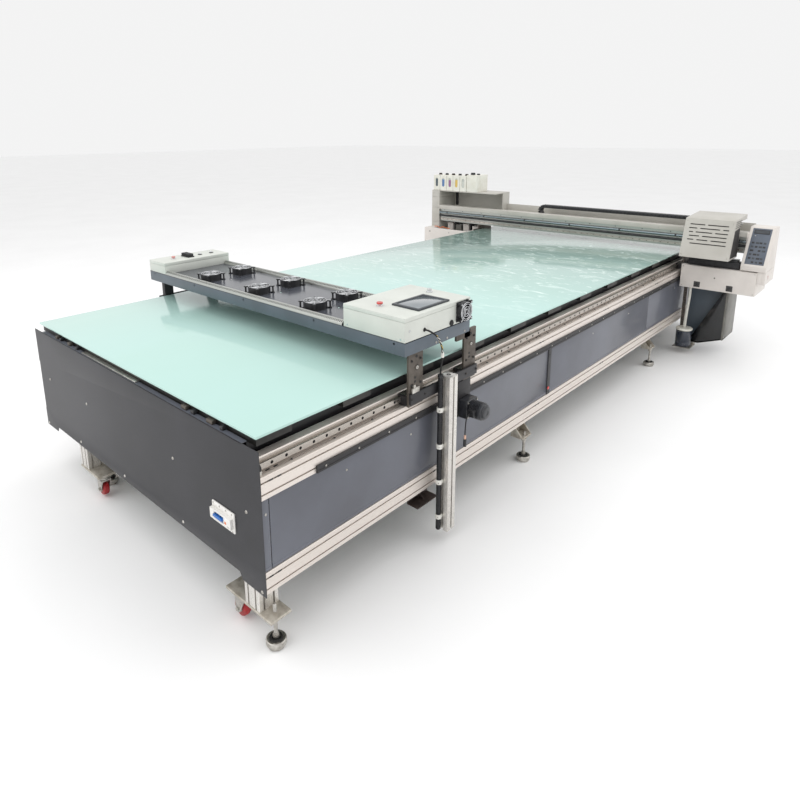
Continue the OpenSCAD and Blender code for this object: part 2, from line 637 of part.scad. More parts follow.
// back plate with two rail blocks, and the arm that takes the cable chain
module carriage_plate() { color("silver") {
    difference() {
        blk([cov_x + 20, py - 37, 890], [cov_x + cover_w - 20, py - 25, 1120]);
        for (x = [cov_x + 60, cov_x + 300]) rod_y([x, py - 38, 1090], 4, 20);
    }
    for (x = [cov_x + 50, cov_x + 240]) difference() {
        blk([x, py - 25, brail_z - 17], [x + 70, py - 4, brail_z + 17]);
        blk([x - 1, py - 15.05, brail_z - 8.05], [x + 71, py - 3, brail_z + 8.05]);
    }
    blk([cov_x + 20, py - 37, 1122], [cov_x + cover_w - 20, py + 140, 1130]);
} }
// slanted sheet cover, open below and behind
module carriage_cover() { color("ivory") {
    front = py - 290;
    difference() {
        translate([cov_x, 0, 0]) rotate([90, 0, 90]) linear_extrude(cover_w)
            polygon([[front, cov_z], [front + 90, 1184], [py + 146, 1206], [py + 146, 1166], [py - 37, 1166],
                     [py - 37, cov_z]]);
        translate([cov_x + 3, 0, 0]) rotate([90, 0, 90]) linear_extrude(cover_w - 6)
            polygon([[front + 4, cov_z - 1], [front + 93, 1180], [py - 41, 1188], [py - 41, 1130],
                     [py - 36, 1130], [py - 36, cov_z - 1]]);
        for (r = [0:5]) for (k = [-1, 1]) if (r != 2)
            blk([cov_x + cover_w / 2 + k * 75 - 55, front - 5, 925 + r * 44],
                [cov_x + cover_w / 2 + k * 75 + 55, front + 88, 931 + r * 44]);
    }
} }
module print_heads() { color("#3a3d42") {
    blk([cov_x + 20, py - 270, 900], [cov_x + cover_w - 20, py - 37, 908]);
    for (i = [0:3]) blk([cov_x + 50 + i * 64, py - 230, 884], [cov_x + 90 + i * 64, py - 70, 1000]);
    blk([cov_x + 24, py - 230, 886], [cov_x + 42, py - 70, 990]);
    blk([cov_x + cover_w - 42, py - 230, 886], [cov_x + cover_w - 24, py - 70, 990]);
} }

upper_beams();
lower_beams();
cross_members();
legs();
levelling_feet();
bed_glass();
bed_supports();
end_panels();
side_panels();
panel_posts();
guide_rails();
drive_strips();
end_stops();
panel_screws();
breaker_body();
breaker_lever();
caster_fork_left();
caster_fork_right();
caster_wheel_left();
caster_wheel_right();
dryer_frame();
dryer_deck();
fan_frames();
fan_rotor_1();
fan_rotor_2();
fan_rotor_3();
fan_rotor_4();
fan_rotor_5();
fan_rotor_6();
control_box();
touch_screen();
stop_button();
start_button();
side_fan_rotor();
left_box();
left_button();
dryer_legs();
dryer_blocks();
dryer_post();
dryer_motor();
drive_wheel();
conduit();
box_lead();
sensor_lead();
print_beam();
beam_cover();
beam_rail();
beam_tubes();
ink_tower();
ink_tanks();
print_base();
console();
console_switch();
print_blocks();
waste_bottle();
waste_tube();
drag_chain();
carriage_plate();
carriage_cover();
print_heads();
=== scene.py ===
import bpy, bmesh, math
from mathutils import Matrix, Vector


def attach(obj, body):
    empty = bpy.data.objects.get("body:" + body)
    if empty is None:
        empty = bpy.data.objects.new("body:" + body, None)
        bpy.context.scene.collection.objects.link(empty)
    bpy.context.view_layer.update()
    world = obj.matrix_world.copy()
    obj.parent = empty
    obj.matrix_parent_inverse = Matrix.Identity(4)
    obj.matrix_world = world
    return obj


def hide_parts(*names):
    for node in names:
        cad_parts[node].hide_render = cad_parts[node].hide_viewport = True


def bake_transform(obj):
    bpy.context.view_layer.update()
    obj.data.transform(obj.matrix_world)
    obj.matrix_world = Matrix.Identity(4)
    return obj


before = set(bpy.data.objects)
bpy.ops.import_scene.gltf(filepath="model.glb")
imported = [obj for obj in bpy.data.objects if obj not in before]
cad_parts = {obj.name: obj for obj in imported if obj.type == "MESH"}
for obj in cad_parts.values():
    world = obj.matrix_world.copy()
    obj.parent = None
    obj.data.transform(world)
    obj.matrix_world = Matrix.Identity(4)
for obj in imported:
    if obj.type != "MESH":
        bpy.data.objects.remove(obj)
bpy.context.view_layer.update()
mm = 0.001

# where the printer's own planes are, in millimetres, Z up from the floor
at = {
    "near": -2635, "far": 2665, "side": 1034, "bed": 868,
    "upper": 640, "lower": 260, "seat": 988, "plate": 1046,
    "dryer": -1918, "dryerEnd": -1453, "deck": 1042, "dryerLeft": -1040, "dryerRight": 1080,
    "beam": 1832, "post": -1638,
}


# small tools for materials

def srgb(code):
    parts = [int(code[i:i + 2], 16) / 255 for i in (1, 3, 5)]
    return [c / 12.92 if c <= 0.04045 else ((c + 0.055) / 1.055) ** 2.4 for c in parts] + [1.0]


def addNode(mat, kind, values=None, **settings):
    node = mat.node_tree.nodes.new(kind)
    for key, value in settings.items():
        setattr(node, key, value)
    for key, value in (values or {}).items():
        node.inputs[key].default_value = value
    return node


def wire(mat, a, outName, b, inName):
    mat.node_tree.links.new(a.outputs[outName], b.inputs[inName])


def newMat(name):
    mat = bpy.data.materials.new(name)
    mat.use_nodes = True
    return mat, mat.node_tree.nodes["Principled BSDF"]


def noiseOn(mat, coords, size, stretch=(1, 1, 1), detail=5.0, rough=0.55):
    # noise whose blobs are about size millimetres across
    place = addNode(mat, "ShaderNodeMapping", {"Scale": [1000 / size * s for s in stretch]})
    wire(mat, coords, "Object", place, "Vector")
    noise = addNode(mat, "ShaderNodeTexNoise", {"Scale": 1.0, "Detail": detail, "Roughness": rough})
    wire(mat, place, "Vector", noise, "Vector")
    return noise


def finish(name, colour, shade, blob, rough, grain, bump, metal=0.0, stretch=(1, 1, 1), coat=0.0,
           contrast=(0.35, 0.65)):
    # a surface that varies between two colours over blob mm, with a fine grain in gloss and height
    mat, shader = newMat(name)
    coords = addNode(mat, "ShaderNodeTexCoord")
    cloud = noiseOn(mat, coords, blob, stretch)
    spread = addNode(mat, "ShaderNodeMapRange", {"From Min": contrast[0], "From Max": contrast[1]})
    wire(mat, cloud, "Fac", spread, "Value")
    mix = addNode(mat, "ShaderNodeMix", data_type="RGBA")
    mix.inputs["A"].default_value = srgb(colour)
    mix.inputs["B"].default_value = srgb(shade)
    wire(mat, spread, "Result", mix, "Factor")
    mat.node_tree.links.new(mix.outputs["Result"], shader.inputs["Base Color"])
    fine = noiseOn(mat, coords, grain, stretch, 3.0)
    gloss = addNode(mat, "ShaderNodeMapRange", {"From Min": 0.25, "From Max": 0.75,
                                                "To Min": rough[0], "To Max": rough[1]})
    wire(mat, fine, "Fac", gloss, "Value")
    wire(mat, gloss, "Result", shader, "Roughness")
    lift = addNode(mat, "ShaderNodeBump", {"Strength": 0.6, "Distance": bump * mm})
    wire(mat, fine, "Fac", lift, "Height")
    wire(mat, lift, "Normal", shader, "Normal")
    shader.inputs["Metallic"].default_value = metal
    if coat:
        shader.inputs["Coat Weight"].default_value = coat
        shader.inputs["Coat Roughness"].default_value = 0.12
    return mat


def glassBed(look):
    # toughened glass, backed pale green, with wiped smears over the part between the gantries
    mat, shader = newMat("Toughened_Glass_Mint")
    coords = addNode(mat, "ShaderNodeTexCoord")
    cloud = noiseOn(mat, coords, look["cloud"], (1.0, 0.5, 1.0), 3.0)
    mix = addNode(mat, "ShaderNodeMix", data_type="RGBA")
    mix.inputs["A"].default_value = srgb(look["colour"])
    mix.inputs["B"].default_value = srgb(look["shade"])
    wire(mat, cloud, "Fac", mix, "Factor")
    smear = noiseOn(mat, coords, look["smear"], (0.8, 1.7, 1.0), 9.0, 0.72)
    smear.inputs["Distortion"].default_value = 1.4
    band = addNode(mat, "ShaderNodeMapRange", {"From Min": 0.53, "From Max": 0.7})
    wire(mat, smear, "Fac", band, "Value")
    split = addNode(mat, "ShaderNodeSeparateXYZ")
    wire(mat, coords, "Object", split, "Vector")
    where = addNode(mat, "ShaderNodeMapRange", {"From Min": -1.3, "From Max": -0.2})
    wire(mat, split, "Y", where, "Value")
    # painted shade: the sheet is mixed toward a darker grey green toward the far end
    depth = addNode(mat, "ShaderNodeMapRange", {"From Min": -0.6, "From Max": 2.2})
    wire(mat, split, "Y", depth, "Value")
    grey = addNode(mat, "ShaderNodeMix", data_type="RGBA")
    grey.inputs["B"].default_value = srgb(look["painted_far_shade"])
    wire(mat, depth, "Result", grey, "Factor")
    mat.node_tree.links.new(mix.outputs["Result"], grey.inputs["A"])
    amount = addNode(mat, "ShaderNodeMath", {1: 1.0}, operation="MULTIPLY")
    wire(mat, band, "Result", amount, 0)
    wire(mat, where, "Result", amount, 1)
    pale = addNode(mat, "ShaderNodeMix", data_type="RGBA")
    pale.inputs["B"].default_value = srgb(look["wiped"])
    mat.node_tree.links.new(grey.outputs["Result"], pale.inputs["A"])
    wire(mat, amount, "Value", pale, "Factor")
    mat.node_tree.links.new(pale.outputs["Result"], shader.inputs["Base Color"])
    gloss = addNode(mat, "ShaderNodeMapRange", {"To Min": look["rough"][0], "To Max": look["rough"][1]})
    wire(mat, amount, "Value", gloss, "Value")
    wire(mat, gloss, "Result", shader, "Roughness")
    wave = noiseOn(mat, coords, 420, (1, 1, 1), 2.0)
    lift = addNode(mat, "ShaderNodeBump", {"Strength": 0.25, "Distance": 0.0012})
    wire(mat, wave, "Fac", lift, "Height")
    wire(mat, lift, "Normal", shader, "Normal")
    shader.inputs["Specular IOR Level"].default_value = 0.36
    return mat


def sightGlass(name, colour, empty, level):
    # ink seen through a clear oval window, paler above the ink line
    mat, shader = newMat(name)
    coords = addNode(mat, "ShaderNodeTexCoord")
    split = addNode(mat, "ShaderNodeSeparateXYZ")
    wire(mat, coords, "Object", split, "Vector")
    line = addNode(mat, "ShaderNodeMapRange", {"From Min": level * mm - 0.004,
        "From Max": level * mm + 0.004})
    wire(mat, split, "Z", line, "Value")
    cloud = noiseOn(mat, coords, 14)
    soft = addNode(mat, "ShaderNodeMath", {1: 0.18}, operation="MULTIPLY")
    wire(mat, cloud, "Fac", soft, 0)
    total = addNode(mat, "ShaderNodeMath", operation="ADD", use_clamp=True)
    wire(mat, line, "Result", total, 0)
    wire(mat, soft, "Value", total, 1)
    mix = addNode(mat, "ShaderNodeMix", data_type="RGBA")
    mix.inputs["A"].default_value = srgb(colour)
    mix.inputs["B"].default_value = srgb(empty)
    wire(mat, total, "Value", mix, "Factor")
    mat.node_tree.links.new(mix.outputs["Result"], shader.inputs["Base Color"])
    shader.inputs["Roughness"].default_value = 0.12
    shader.inputs["Coat Weight"].default_value = 0.6
    return mat


# each finish: its two colours, size of the mottling, gloss range, grain size and depth in mm
mats = {
    # near-black violet grey powder coat, the big quiet face of the near end: the panels' one grey paint, darkened as
    # painted shade
    "endCoatShaded": finish("Powder_Coat_Graphite_Painted_Shade", "#303033", "#37373B", 320, (0.42, 0.6), 1.6, 0.12),
    # bluer, glossier coat of the long sides: the same panel paint, lightened as painted light from the floor
    "sideCoatLit": finish("Powder_Coat_Slate_Painted_Light", "#585A62", "#646771", 500, (0.3, 0.44), 1.8, 0.1, coat=0.25),
    # blue grey channel under the dryer's deck
    "channelCoat": finish("Powder_Coat_Blue_Grey", "#525B63", "#5B656F", 240, (0.34, 0.5), 1.5, 0.1),
    # the dryer's deck, dark and shiny enough to mirror its fans
    "deckCoat": finish("Enamel_Dark_Slate", "#43464D", "#4E5159", 180, (0.16, 0.3), 2.5, 0.05, coat=0.4),
    # warm white of the dryer's two boxes
    "boxCoat": finish("Powder_Coat_Warm_White", "#D3D6CF", "#CBCEC7", 160, (0.36, 0.5), 1.2, 0.08),
    # duller putty white of the print gantry's covers
    "coverCoat": finish("Powder_Coat_Putty_White", "#C0BDB6", "#B5B2AA", 190, (0.4, 0.55), 1.3, 0.1),
    # the end housings are a pinker white than the cover above them, and lighter as painted light against the shade
    # they sit in
    "baseCoatLit": finish("Powder_Coat_Rose_White_Painted_Light", "#DDD7D1", "#D3CDC7", 190, (0.38, 0.52), 1.3, 0.1),
    # extruded, clear anodised profile with its lengthwise draw lines
    "profile": finish("Anodised_Profile", "#EBE3DC", "#DCD3CB", 300, (0.28, 0.46), 1.4, 0.05, metal=0.45,
                      stretch=(1.0, 0.02, 1.0)),
    "profileX": finish("Anodised_Profile_Cross", "#D9D5D0", "#C5C0BA", 260, (0.28, 0.46), 1.4, 0.05,
                       metal=0.75, stretch=(0.02, 1.0, 1.0)),
    "profileZ": finish("Anodised_Profile_Upright", "#E6E3DE", "#D2CEC8", 160, (0.2, 0.38), 1.2, 0.05,
                       metal=0.6, stretch=(1.0, 1.0, 0.03)),
    # shadowed inside of the slots
    "slotDark": finish("Slot_Shadow_Oxide", "#2B2A2A", "#3B3938", 40, (0.5, 0.8), 2.0, 0.1),
    # ground linear rail
    "railSteel": finish("Ground_Steel", "#BDB6AE", "#A39C95", 120, (0.2, 0.36), 0.8, 0.03, metal=0.9,
                        stretch=(1.0, 0.03, 1.0)),
    # dull phosphated plate of the uprights, browner than the rest of the metal
    "plateSteel": finish("Phosphated_Plate", "#6B645D", "#57514B", 45, (0.42, 0.62), 1.5, 0.12, metal=0.55),
    # zinc plated brackets, stems and forks
    "zinc": finish("Zinc_Plate", "#CFCCC6", "#A8A49D", 22, (0.22, 0.42), 0.9, 0.05, metal=0.9),
    # cast leg plates, a little stained
    "castPlate": finish("Cast_Aluminium", "#C9C4BA", "#A79F92", 28, (0.4, 0.62), 2.2, 0.25, metal=0.6),
    "castDark": finish("Cast_Steel_Brown", "#3A3230", "#4B403B", 30, (0.5, 0.7), 2.2, 0.25, metal=0.3),
    # black steel under the glass, the ribs catch a thin light
    "underBlack": finish("Blackened_Aluminium", "#2E2D2C", "#403E3B", 90, (0.28, 0.48), 1.6, 0.08, metal=0.5,
                         stretch=(0.05, 1.0, 1.0)),
    "stripBlack": finish("Black_Oxide_Strip", "#2C2B2D", "#39383A", 140, (0.36, 0.52), 1.4, 0.08, metal=0.3,
                         stretch=(1.0, 0.05, 1.0)),
    "blackPlastic": finish("Moulded_Black_Plastic", "#1D1D20", "#29292C", 26, (0.32, 0.5), 1.1, 0.06),
    "blackGloss": finish("Gloss_Black_Plastic", "#17181B", "#202227", 60, (0.12, 0.22), 1.5, 0.03, coat=0.3),
    "rubber": finish("Black_Rubber", "#191919", "#232322", 18, (0.6, 0.8), 1.0, 0.12),
    "motorCoat": finish("Motor_Enamel_Black", "#26272B", "#33353A", 32, (0.28, 0.44), 1.3, 0.1, coat=0.2),
    "wheelRed": finish("Polyurethane_Red", "#B2262A", "#8C1D20", 20, (0.34, 0.5), 1.4, 0.08),
    "lampRed": finish("Switch_Red_Plastic", "#D8332A", "#C22A22", 10, (0.16, 0.26), 1.0, 0.03, coat=0.4),
    "lampPink": finish("Faded_Red_Plastic", "#D98C86", "#C97A75", 10, (0.2, 0.32), 1.0, 0.03, coat=0.3),
    "toggleBlue": finish("Breaker_Blue_Plastic", "#1F6FC4", "#1A60AE", 12, (0.2, 0.32), 1.0, 0.03, coat=0.3),
    "testOrange": finish("Breaker_Orange_Plastic", "#E87A3C", "#D96A2E", 8, (0.25, 0.38), 1.0, 0.03),
    "breakerWhite": finish("Breaker_White_Plastic", "#EFEDEA", "#E3E1DC", 30, (0.24, 0.36), 1.2, 0.04),
    "chrome": finish("Chromed_Wire", "#DDDEE0", "#C6C8CB", 16, (0.06, 0.14), 0.8, 0.01, metal=1.0),
    "screenGlass": finish("Screen_Glass_Grey", "#7C8489", "#6B7378", 70, (0.07, 0.14), 2.0, 0.01, coat=0.8),
    "screenFrame": finish("Screen_Bezel_Grey", "#32363B", "#3C4147", 30, (0.3, 0.42), 1.1, 0.05),
    "tankWhite": finish("Translucent_Tank_White", "#E6E5DC", "#DAD8CC", 60, (0.3, 0.44), 1.5, 0.06),
    "bottleBlue": finish("Bottle_Ink_Blue", "#2E3440", "#242A36", 40, (0.1, 0.2), 1.6, 0.03, coat=0.5),
    "tubeWhite": finish("Milky_Tube", "#DDDCD4", "#CAC9C0", 30, (0.25, 0.4), 1.2, 0.04),
    "keypad": finish("Keypad_Film_Blue_Grey", "#5A626E", "#535B67", 50, (0.3, 0.42), 1.4, 0.03),
    "gussetBlack": finish("Black_Enamel_Casting", "#0E0F10", "#15171A", 70, (0.2, 0.34), 2.4, 0.1, coat=0.4),
    "pillarGrey": finish("Painted_Pillar_Grey", "#77756F", "#65635E", 80, (0.34, 0.5), 1.6, 0.08),
    "beamSteel": finish("Brushed_Beam_Aluminium", "#C3C5C0", "#AEB0AB", 220, (0.25, 0.42), 1.3, 0.04,
    metal=0.7, stretch=(0.02, 1.0, 1.0)),
    "tubeSteel": finish("Blued_Steel_Tube", "#8C979B", "#7A858A", 200, (0.14, 0.26), 1.2, 0.03, metal=0.85,
                        stretch=(0.02, 1.0, 1.0)),
    "wireYellow": finish("Wire_Insulation_Yellow", "#E2C65A", "#D4B648", 12, (0.3, 0.45), 0.8, 0.03),
    "wireWhite": finish("Wire_Insulation_White", "#EDECE6", "#DEDCD4", 12, (0.3, 0.45), 0.8, 0.03),
    "bandPink": finish("Heatshrink_Salmon", "#E0B9A2", "#D3A88F", 10, (0.35, 0.5), 0.8, 0.04),
    # the glass's far-end colour is painted shade, darker toward the far end
    "glass": glassBed({"colour": "#BADAD6", "shade": "#B4D5CA", "wiped": "#E4F5F0", "painted_far_shade": "#7C948A",
    "cloud": 700, "smear": 150, "rough": (0.09, 0.24)}), }
print("materials:", len(mats))


# small tools for shapes, all in millimetres

def setMat(bm, mi):
    for face in bm.faces:
        face.material_index = mi
    return bm


def flatOnly(bm, rounded):
    for face in bm.faces:
        face.smooth = False
    for face in rounded:
        if face.is_valid:
            face.smooth = True


def box(lo, hi, bevel=1.0, mi=0, segments=2):
    bm = bmesh.new()
    bmesh.ops.create_cube(bm, size=1.0)
    size = [max(h - l, 0.01) for l, h in zip(lo, hi)]
    bmesh.ops.scale(bm, vec=size, verts=bm.verts)
    bmesh.ops.translate(bm, vec=[(l + h) / 2 for l, h in zip(lo, hi)], verts=bm.verts)
    if bevel:
        done = bmesh.ops.bevel(bm, geom=bm.edges[:], offset=min(bevel, min(size) * 0.45), segments=segments,
                               profile=0.5, affect="EDGES", material=-1, clamp_overlap=True)
        flatOnly(bm, done["faces"])
    return setMat(bm, mi)


turnTo = {"X": Matrix.Rotation(math.radians(90), 4, "Y"), "Y": Matrix.Rotation(math.radians(-90), 4, "X"),
          "Z": Matrix.Identity(4)}


def lathe(outline, p, axis="Z", steps=32, mi=0):
    # outline is (radius, height) pairs, turned about an axis through p
    bm = bmesh.new()
    verts = [bm.verts.new((max(r, 0.0), 0, h)) for r, h in outline]
    edges = [bm.edges.new((a, b)) for a, b in zip(verts, verts[1:])]
    bmesh.ops.spin(bm, geom=verts + edges, cent=(0, 0, 0), axis=(0, 0, 1), angle=math.tau, steps=steps,
                   use_merge=True)
    bmesh.ops.remove_doubles(bm, verts=bm.verts, dist=0.001)
    bmesh.ops.transform(bm, matrix=Matrix.Translation(p) @ turnTo[axis], verts=bm.verts)
    for face in bm.faces:
        face.smooth = True
    return setMat(bm, mi)


def rod(p, axis, r, length, mi=0, chamfer=0.8, steps=24):
    c = min(chamfer, r * 0.4, abs(length) * 0.4)
    h = c if length > 0 else -c
    return lathe([(0, 0), (r - c, 0), (r, h), (r, length - h), (r - c, length), (0, length)], p, axis, steps,
        mi)


def hexNut(p, axis, r, height, mi=0):
    bm = lathe([(0, 0), (r * 0.93, 0), (r, height * 0.12), (r, height * 0.88), (r * 0.93, height),
        (0, height)], p, axis, 6, mi)
    flatOnly(bm, [])
    return bm


def capScrew(p, axis, r, height, mi=0):
    # socket head screw, its bore sunk in the head; height may be negative to face the other way
    h, s = abs(height), (1 if height > 0 else -1)
    line = [(0, h * 0.45), (r * 0.45, h * 0.45), (r * 0.5, h * 0.95), (r * 0.8, h), (r, h * 0.85), (r, 0),
        (0, 0)]
    return lathe([(a, b * s) for a, b in line], p, axis, 12, mi)


def prism(outline, depth, p, axis="Z", bevel=0.0, mi=0, segments=2):
    # closed outline extruded along an axis; outlines read (x,y), (x,z) or (y,z)
    bm = bmesh.new()
    place = {"Z": lambda a, b: (a, b, 0), "Y": lambda a, b: (a, 0, b), "X": lambda a, b: (0, a, b)}[axis]
    way = {"Z": (0, 0, depth), "Y": (0, depth, 0), "X": (depth, 0, 0)}[axis]
    face = bm.faces.new([bm.verts.new(place(a, b)) for a, b in outline])
    made = bmesh.ops.extrude_face_region(bm, geom=[face])
    bmesh.ops.translate(bm, vec=way, verts=[v for v in made["geom"] if isinstance(v, bmesh.types.BMVert)])
    bmesh.ops.recalc_face_normals(bm, faces=bm.faces)
    if bevel:
        done = bmesh.ops.bevel(bm, geom=bm.edges[:], offset=bevel, segments=segments, profile=0.5,
                               affect="EDGES", material=-1, clamp_overlap=True)
        flatOnly(bm, done["faces"])
    bmesh.ops.translate(bm, vec=p, verts=bm.verts)
    return setMat(bm, mi)


def slotOutline(a, slots, mouth, lip, wide, deep):
    # square profile outline with T slots at the given places along each face
    side = [(2, 0)]
    for c in slots:
        side += [(c - mouth / 2, 0), (c - mouth / 2, lip), (c - wide / 2, lip), (c - wide / 2, deep),
                 (c + wide / 2, deep), (c + wide / 2, lip), (c + mouth / 2, lip), (c + mouth / 2, 0)]
    side += [(a - 2, 0), (a, 2)]
    points = []
    for q in range(4):
        for u, v in side[:-1]:
            for _ in range(q):
                u, v = a - v, u
            points.append((u, v))
    return points


def ringOfWire(radius, thick, z, p, axis="Z", mi=0, steps=40):
    line = [(radius + thick * math.cos(t), z + thick * math.sin(t)) for t in
            [math.tau * k / 6 for k in range(7)]]
    return lathe(line, p, axis, steps, mi)


def holedStrip(p, along, up, out, length, height, holes, r, deep, mi=0, dark=1):
    # flat strip with a row of round pockets; along, up and out are unit axes, holes are distances; the pockets' walls
    # and floors take the dark material as painted shade
    bm = bmesh.new()
    p, along, up, out = Vector(p), Vector(along), Vector(up), Vector(out)
    steps, half = 12, height / 2

    def cell(x0, x1, c):
        square, circle, floor = [], [], []
        for k in range(steps):
            a = math.tau * (k + 0.5) / steps
            u, v = math.cos(a), math.sin(a)
            scale = 1 / max(abs(u), abs(v))
            su = (x1 - c if u > 0 else c - x0) * u * scale
            square.append(bm.verts.new(p + along * (c + su) + up * (v * scale * half)))
            circle.append(bm.verts.new(p + along * (c + u * r) + up * (v * r)))
            floor.append(bm.verts.new(p + along * (c + u * r) + up * (v * r) - out * deep))
        for k in range(steps):
            n = (k + 1) % steps
            bm.faces.new((square[k], square[n], circle[n], circle[k])).material_index = mi
            # pocket walls and floors in the dark material: painted shade
            bm.faces.new((circle[k], circle[n], floor[n], floor[k])).material_index = dark
        bm.faces.new(floor).material_index = dark

    edges = [0] + [(a + b) / 2 for a, b in zip(holes, holes[1:])] + [length]
    for c, x0, x1 in zip(holes, edges, edges[1:]):
        cell(x0, x1, c)
    flatOnly(bm, [])
    return bm


def sweep(points, r, mi=0, steps=8):
    # round tube through points, made as a polyline skin
    bm = bmesh.new()
    pts = [Vector(q) for q in points]
    rings, up = [], Vector((0.31, 0.62, 0.17)).normalized()
    for i, q in enumerate(pts):
        t = (pts[min(i + 1, len(pts) - 1)] - pts[max(i - 1, 0)]).normalized()
        side = t.cross(up).normalized()
        lift = t.cross(side)
        up = -lift if lift.dot(up) < 0 else lift
        rings.append([bm.verts.new(q + r * (math.cos(a) * side + math.sin(a) * lift)) for a in
                      [math.tau * k / steps for k in range(steps)]])
    for a, b in zip(rings, rings[1:]):
        for k in range(steps):
            bm.faces.new((a[k], a[(k + 1) % steps], b[(k + 1) % steps], b[k]))
    bm.faces.new(rings[0])
    bm.faces.new(rings[-1])
    bmesh.ops.recalc_face_normals(bm, faces=bm.faces)
    for face in bm.faces:
        face.smooth = True
    return setMat(bm, mi)


def curveThrough(route, steps=6):
    # points on a smooth line through the route's own points
    out = []
    for i in range(len(route) - 1):
        a, b, c, d = (Vector(route[max(0, min(j, len(route) - 1))]) for j in (i - 1, i, i + 1, i + 2))
        for k in range(steps):
            t = k / steps
            out.append(0.5 * (2 * b + (c - a) * t + (2 * a - 5 * b + 4 * c - d) * t * t
                              + (3 * b - a - 3 * c + d) * t ** 3))
    return out + [Vector(route[-1])]


def both(bits):
    # the same shapes again on the other side of the table
    more = []
    for bm in bits:
        other = bm.copy()
        bmesh.ops.scale(other, vec=(-1, 1, 1), verts=other.verts)
        bmesh.ops.reverse_faces(other, faces=other.faces)
        more.append(other)
    return bits + more


def piece(name, bits, matNames, body, slotName, *nodes, sharp=32, fix=True):
    whole = bmesh.new()
    for bm in bits:
        if fix:
            bmesh.ops.recalc_face_normals(bm, faces=bm.faces)
        held = bpy.data.meshes.new("held")
        bm.to_mesh(held)
        whole.from_mesh(held)
        bm.free()
        bpy.data.meshes.remove(held)
    bmesh.ops.scale(whole, vec=(mm, mm, mm), verts=whole.verts)
    mesh = bpy.data.meshes.new(name)
    whole.to_mesh(mesh)
    whole.free()
    for key in matNames:
        mesh.materials.append(mats[key])
    mesh.set_sharp_from_angle(angle=math.radians(sharp))
    obj = bpy.data.objects.new(name, mesh)
    bpy.context.scene.collection.objects.link(obj)
    if body:
        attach(obj, body)
    if nodes:
        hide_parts(*nodes)
    return obj


# cords first: the lead from the operator box, the motor's lead and the waste tube

cords = {
    # black sleeve, a bare stretch of coloured wires, then black again down into the conduit
    "boxLead": {"route": [(1081, -1790, 1071), (1102, -1784, 1068), (1120, -1758, 1044), (1122, -1728, 1000),
                          (1110, -1700, 940), (1094, -1686, 886), (1088, -1682, 858), (1088, -1682, 840)],
                "radius": 4.0},
    "motorLead": {"route": [(1135, -1512, 602), (1135, -1524, 602), (1135, -1539, 590), (1135, -1545, 562),
                            (1135, -1548, 525), (1135, -1548, 490)], "radius": 3.0},
    "wasteTube": {"route": [(1118, 1787, 600), (1118, 1787, 560), (1116, 1787, 470), (1110, 1787, 370),
                            (1105, 1787, 260), (1105, 1787, 222)], "radius": 12.0},
}


def buildCord(name, spec, mat, body, slotName, node, steps=10):
    line = curveThrough(spec["route"], 8)
    obj = piece(name, [sweep(line, spec["radius"], 0, steps)], [mat], body, slotName, node)
    return obj


lead = cords["boxLead"]
leadLine = curveThrough(lead["route"], 8)
bits = []
for k, turn in enumerate((0.0, 2.1, 4.2)):
    middle = leadLine[15:34]
    strand = []
    for i, q in enumerate(middle):
        a = turn + i * 0.55
        strand.append(q + Vector((math.cos(a), 0.35 * math.sin(a),
            math.sin(a) * 0.6)) * (4.3 if 1 < i < 17 else 3.0))
    bits.append(sweep(strand, 1.5, 0 if k == 0 else 1, 6))
bits.append(rod(leadLine[31] - Vector((0, 0, 17)), "Z", 7.5, 22, 1, 1.5, 8))
leadWires = piece("boxLeadWires", bits, ["wireYellow", "wireWhite"], "dryer_gantry", "black_rubber")
boxLead = buildCord("boxLead", lead, "rubber", "dryer_gantry", "black_rubber", "box_lead")
motorPlug = piece("motorPlug", [
    lathe([(0, 0), (6, 0), (7.6, 2), (7.6, 34), (6.2, 36), (6.2, 39), (0, 39)], (1135, -1548, 451), "Z", 18,
    0), lathe([(3.2, 0), (5.4, 1), (5.6, 8), (5.2, 20), (3.2, 21)], (1135, -1548, 489), "Z", 18, 1),
], ["blackPlastic", "bandPink"], "dryer_gantry", "black_rubber")
motorLead = buildCord("motorLead", cords["motorLead"], "rubber", "dryer_gantry", "black_rubber",
    "sensor_lead")
wasteTube = buildCord("wasteTube", cords["wasteTube"], "tubeWhite", "print_gantry", "tube_white",
    "waste_tube", steps=16)
print("cords: 3")


# the table

near, far, side = at["near"], at["far"], at["side"]

glass = {"bevel": 1.6, "half": 1000, "thick": 10, "inset": 17}
piece("bedGlass", [box((-glass["half"], near + glass["inset"], at["bed"] - glass["thick"]),
                       (glass["half"], far - glass["inset"], at["bed"]), glass["bevel"], 0, 3)],
      ["glass"], "table", "bed_glass", "bed_glass")

under = {"slats": 13, "slatWide": 160, "grooves": 9, "barX": 900, "ribs": (-600, -300, 0, 300, 600)}
bits = []
top = at["bed"] - glass["thick"]
step = (far - near - 60 - under["slatWide"]) / (under["slats"] - 1)
for i in range(under["slats"]):
    y = near + 30 + i * step
    w = under["slatWide"]
    # grooved upper face, drawn as one closed section and pushed along X
    outline = [(0, 0)]
    for g in range(under["grooves"]):
        a = w * (g + 0.28) / under["grooves"]
        b = w * (g + 0.72) / under["grooves"]
        outline += [(a, 0), (a, -7), (b, -7), (b, 0)]
    outline += [(w, 0), (w, -35.5), (0, -35.5)]
    bits.append(prism([(u, v - 0.2) for u, v in outline], 1966, (-983, y, top), "X", 0, 0))
for s in (-1, 1):
    bits.append(box((s * under["barX"] - 22, near + 31, at["upper"] + 70),
                    (s * under["barX"] + 22, far - 31, top - 37), 2, 1))
for x in under["ribs"]:
    bits.append(box((x - 14, near + 190, top - 32), (x + 14, far - 190, top - 10), 1.5, 1))
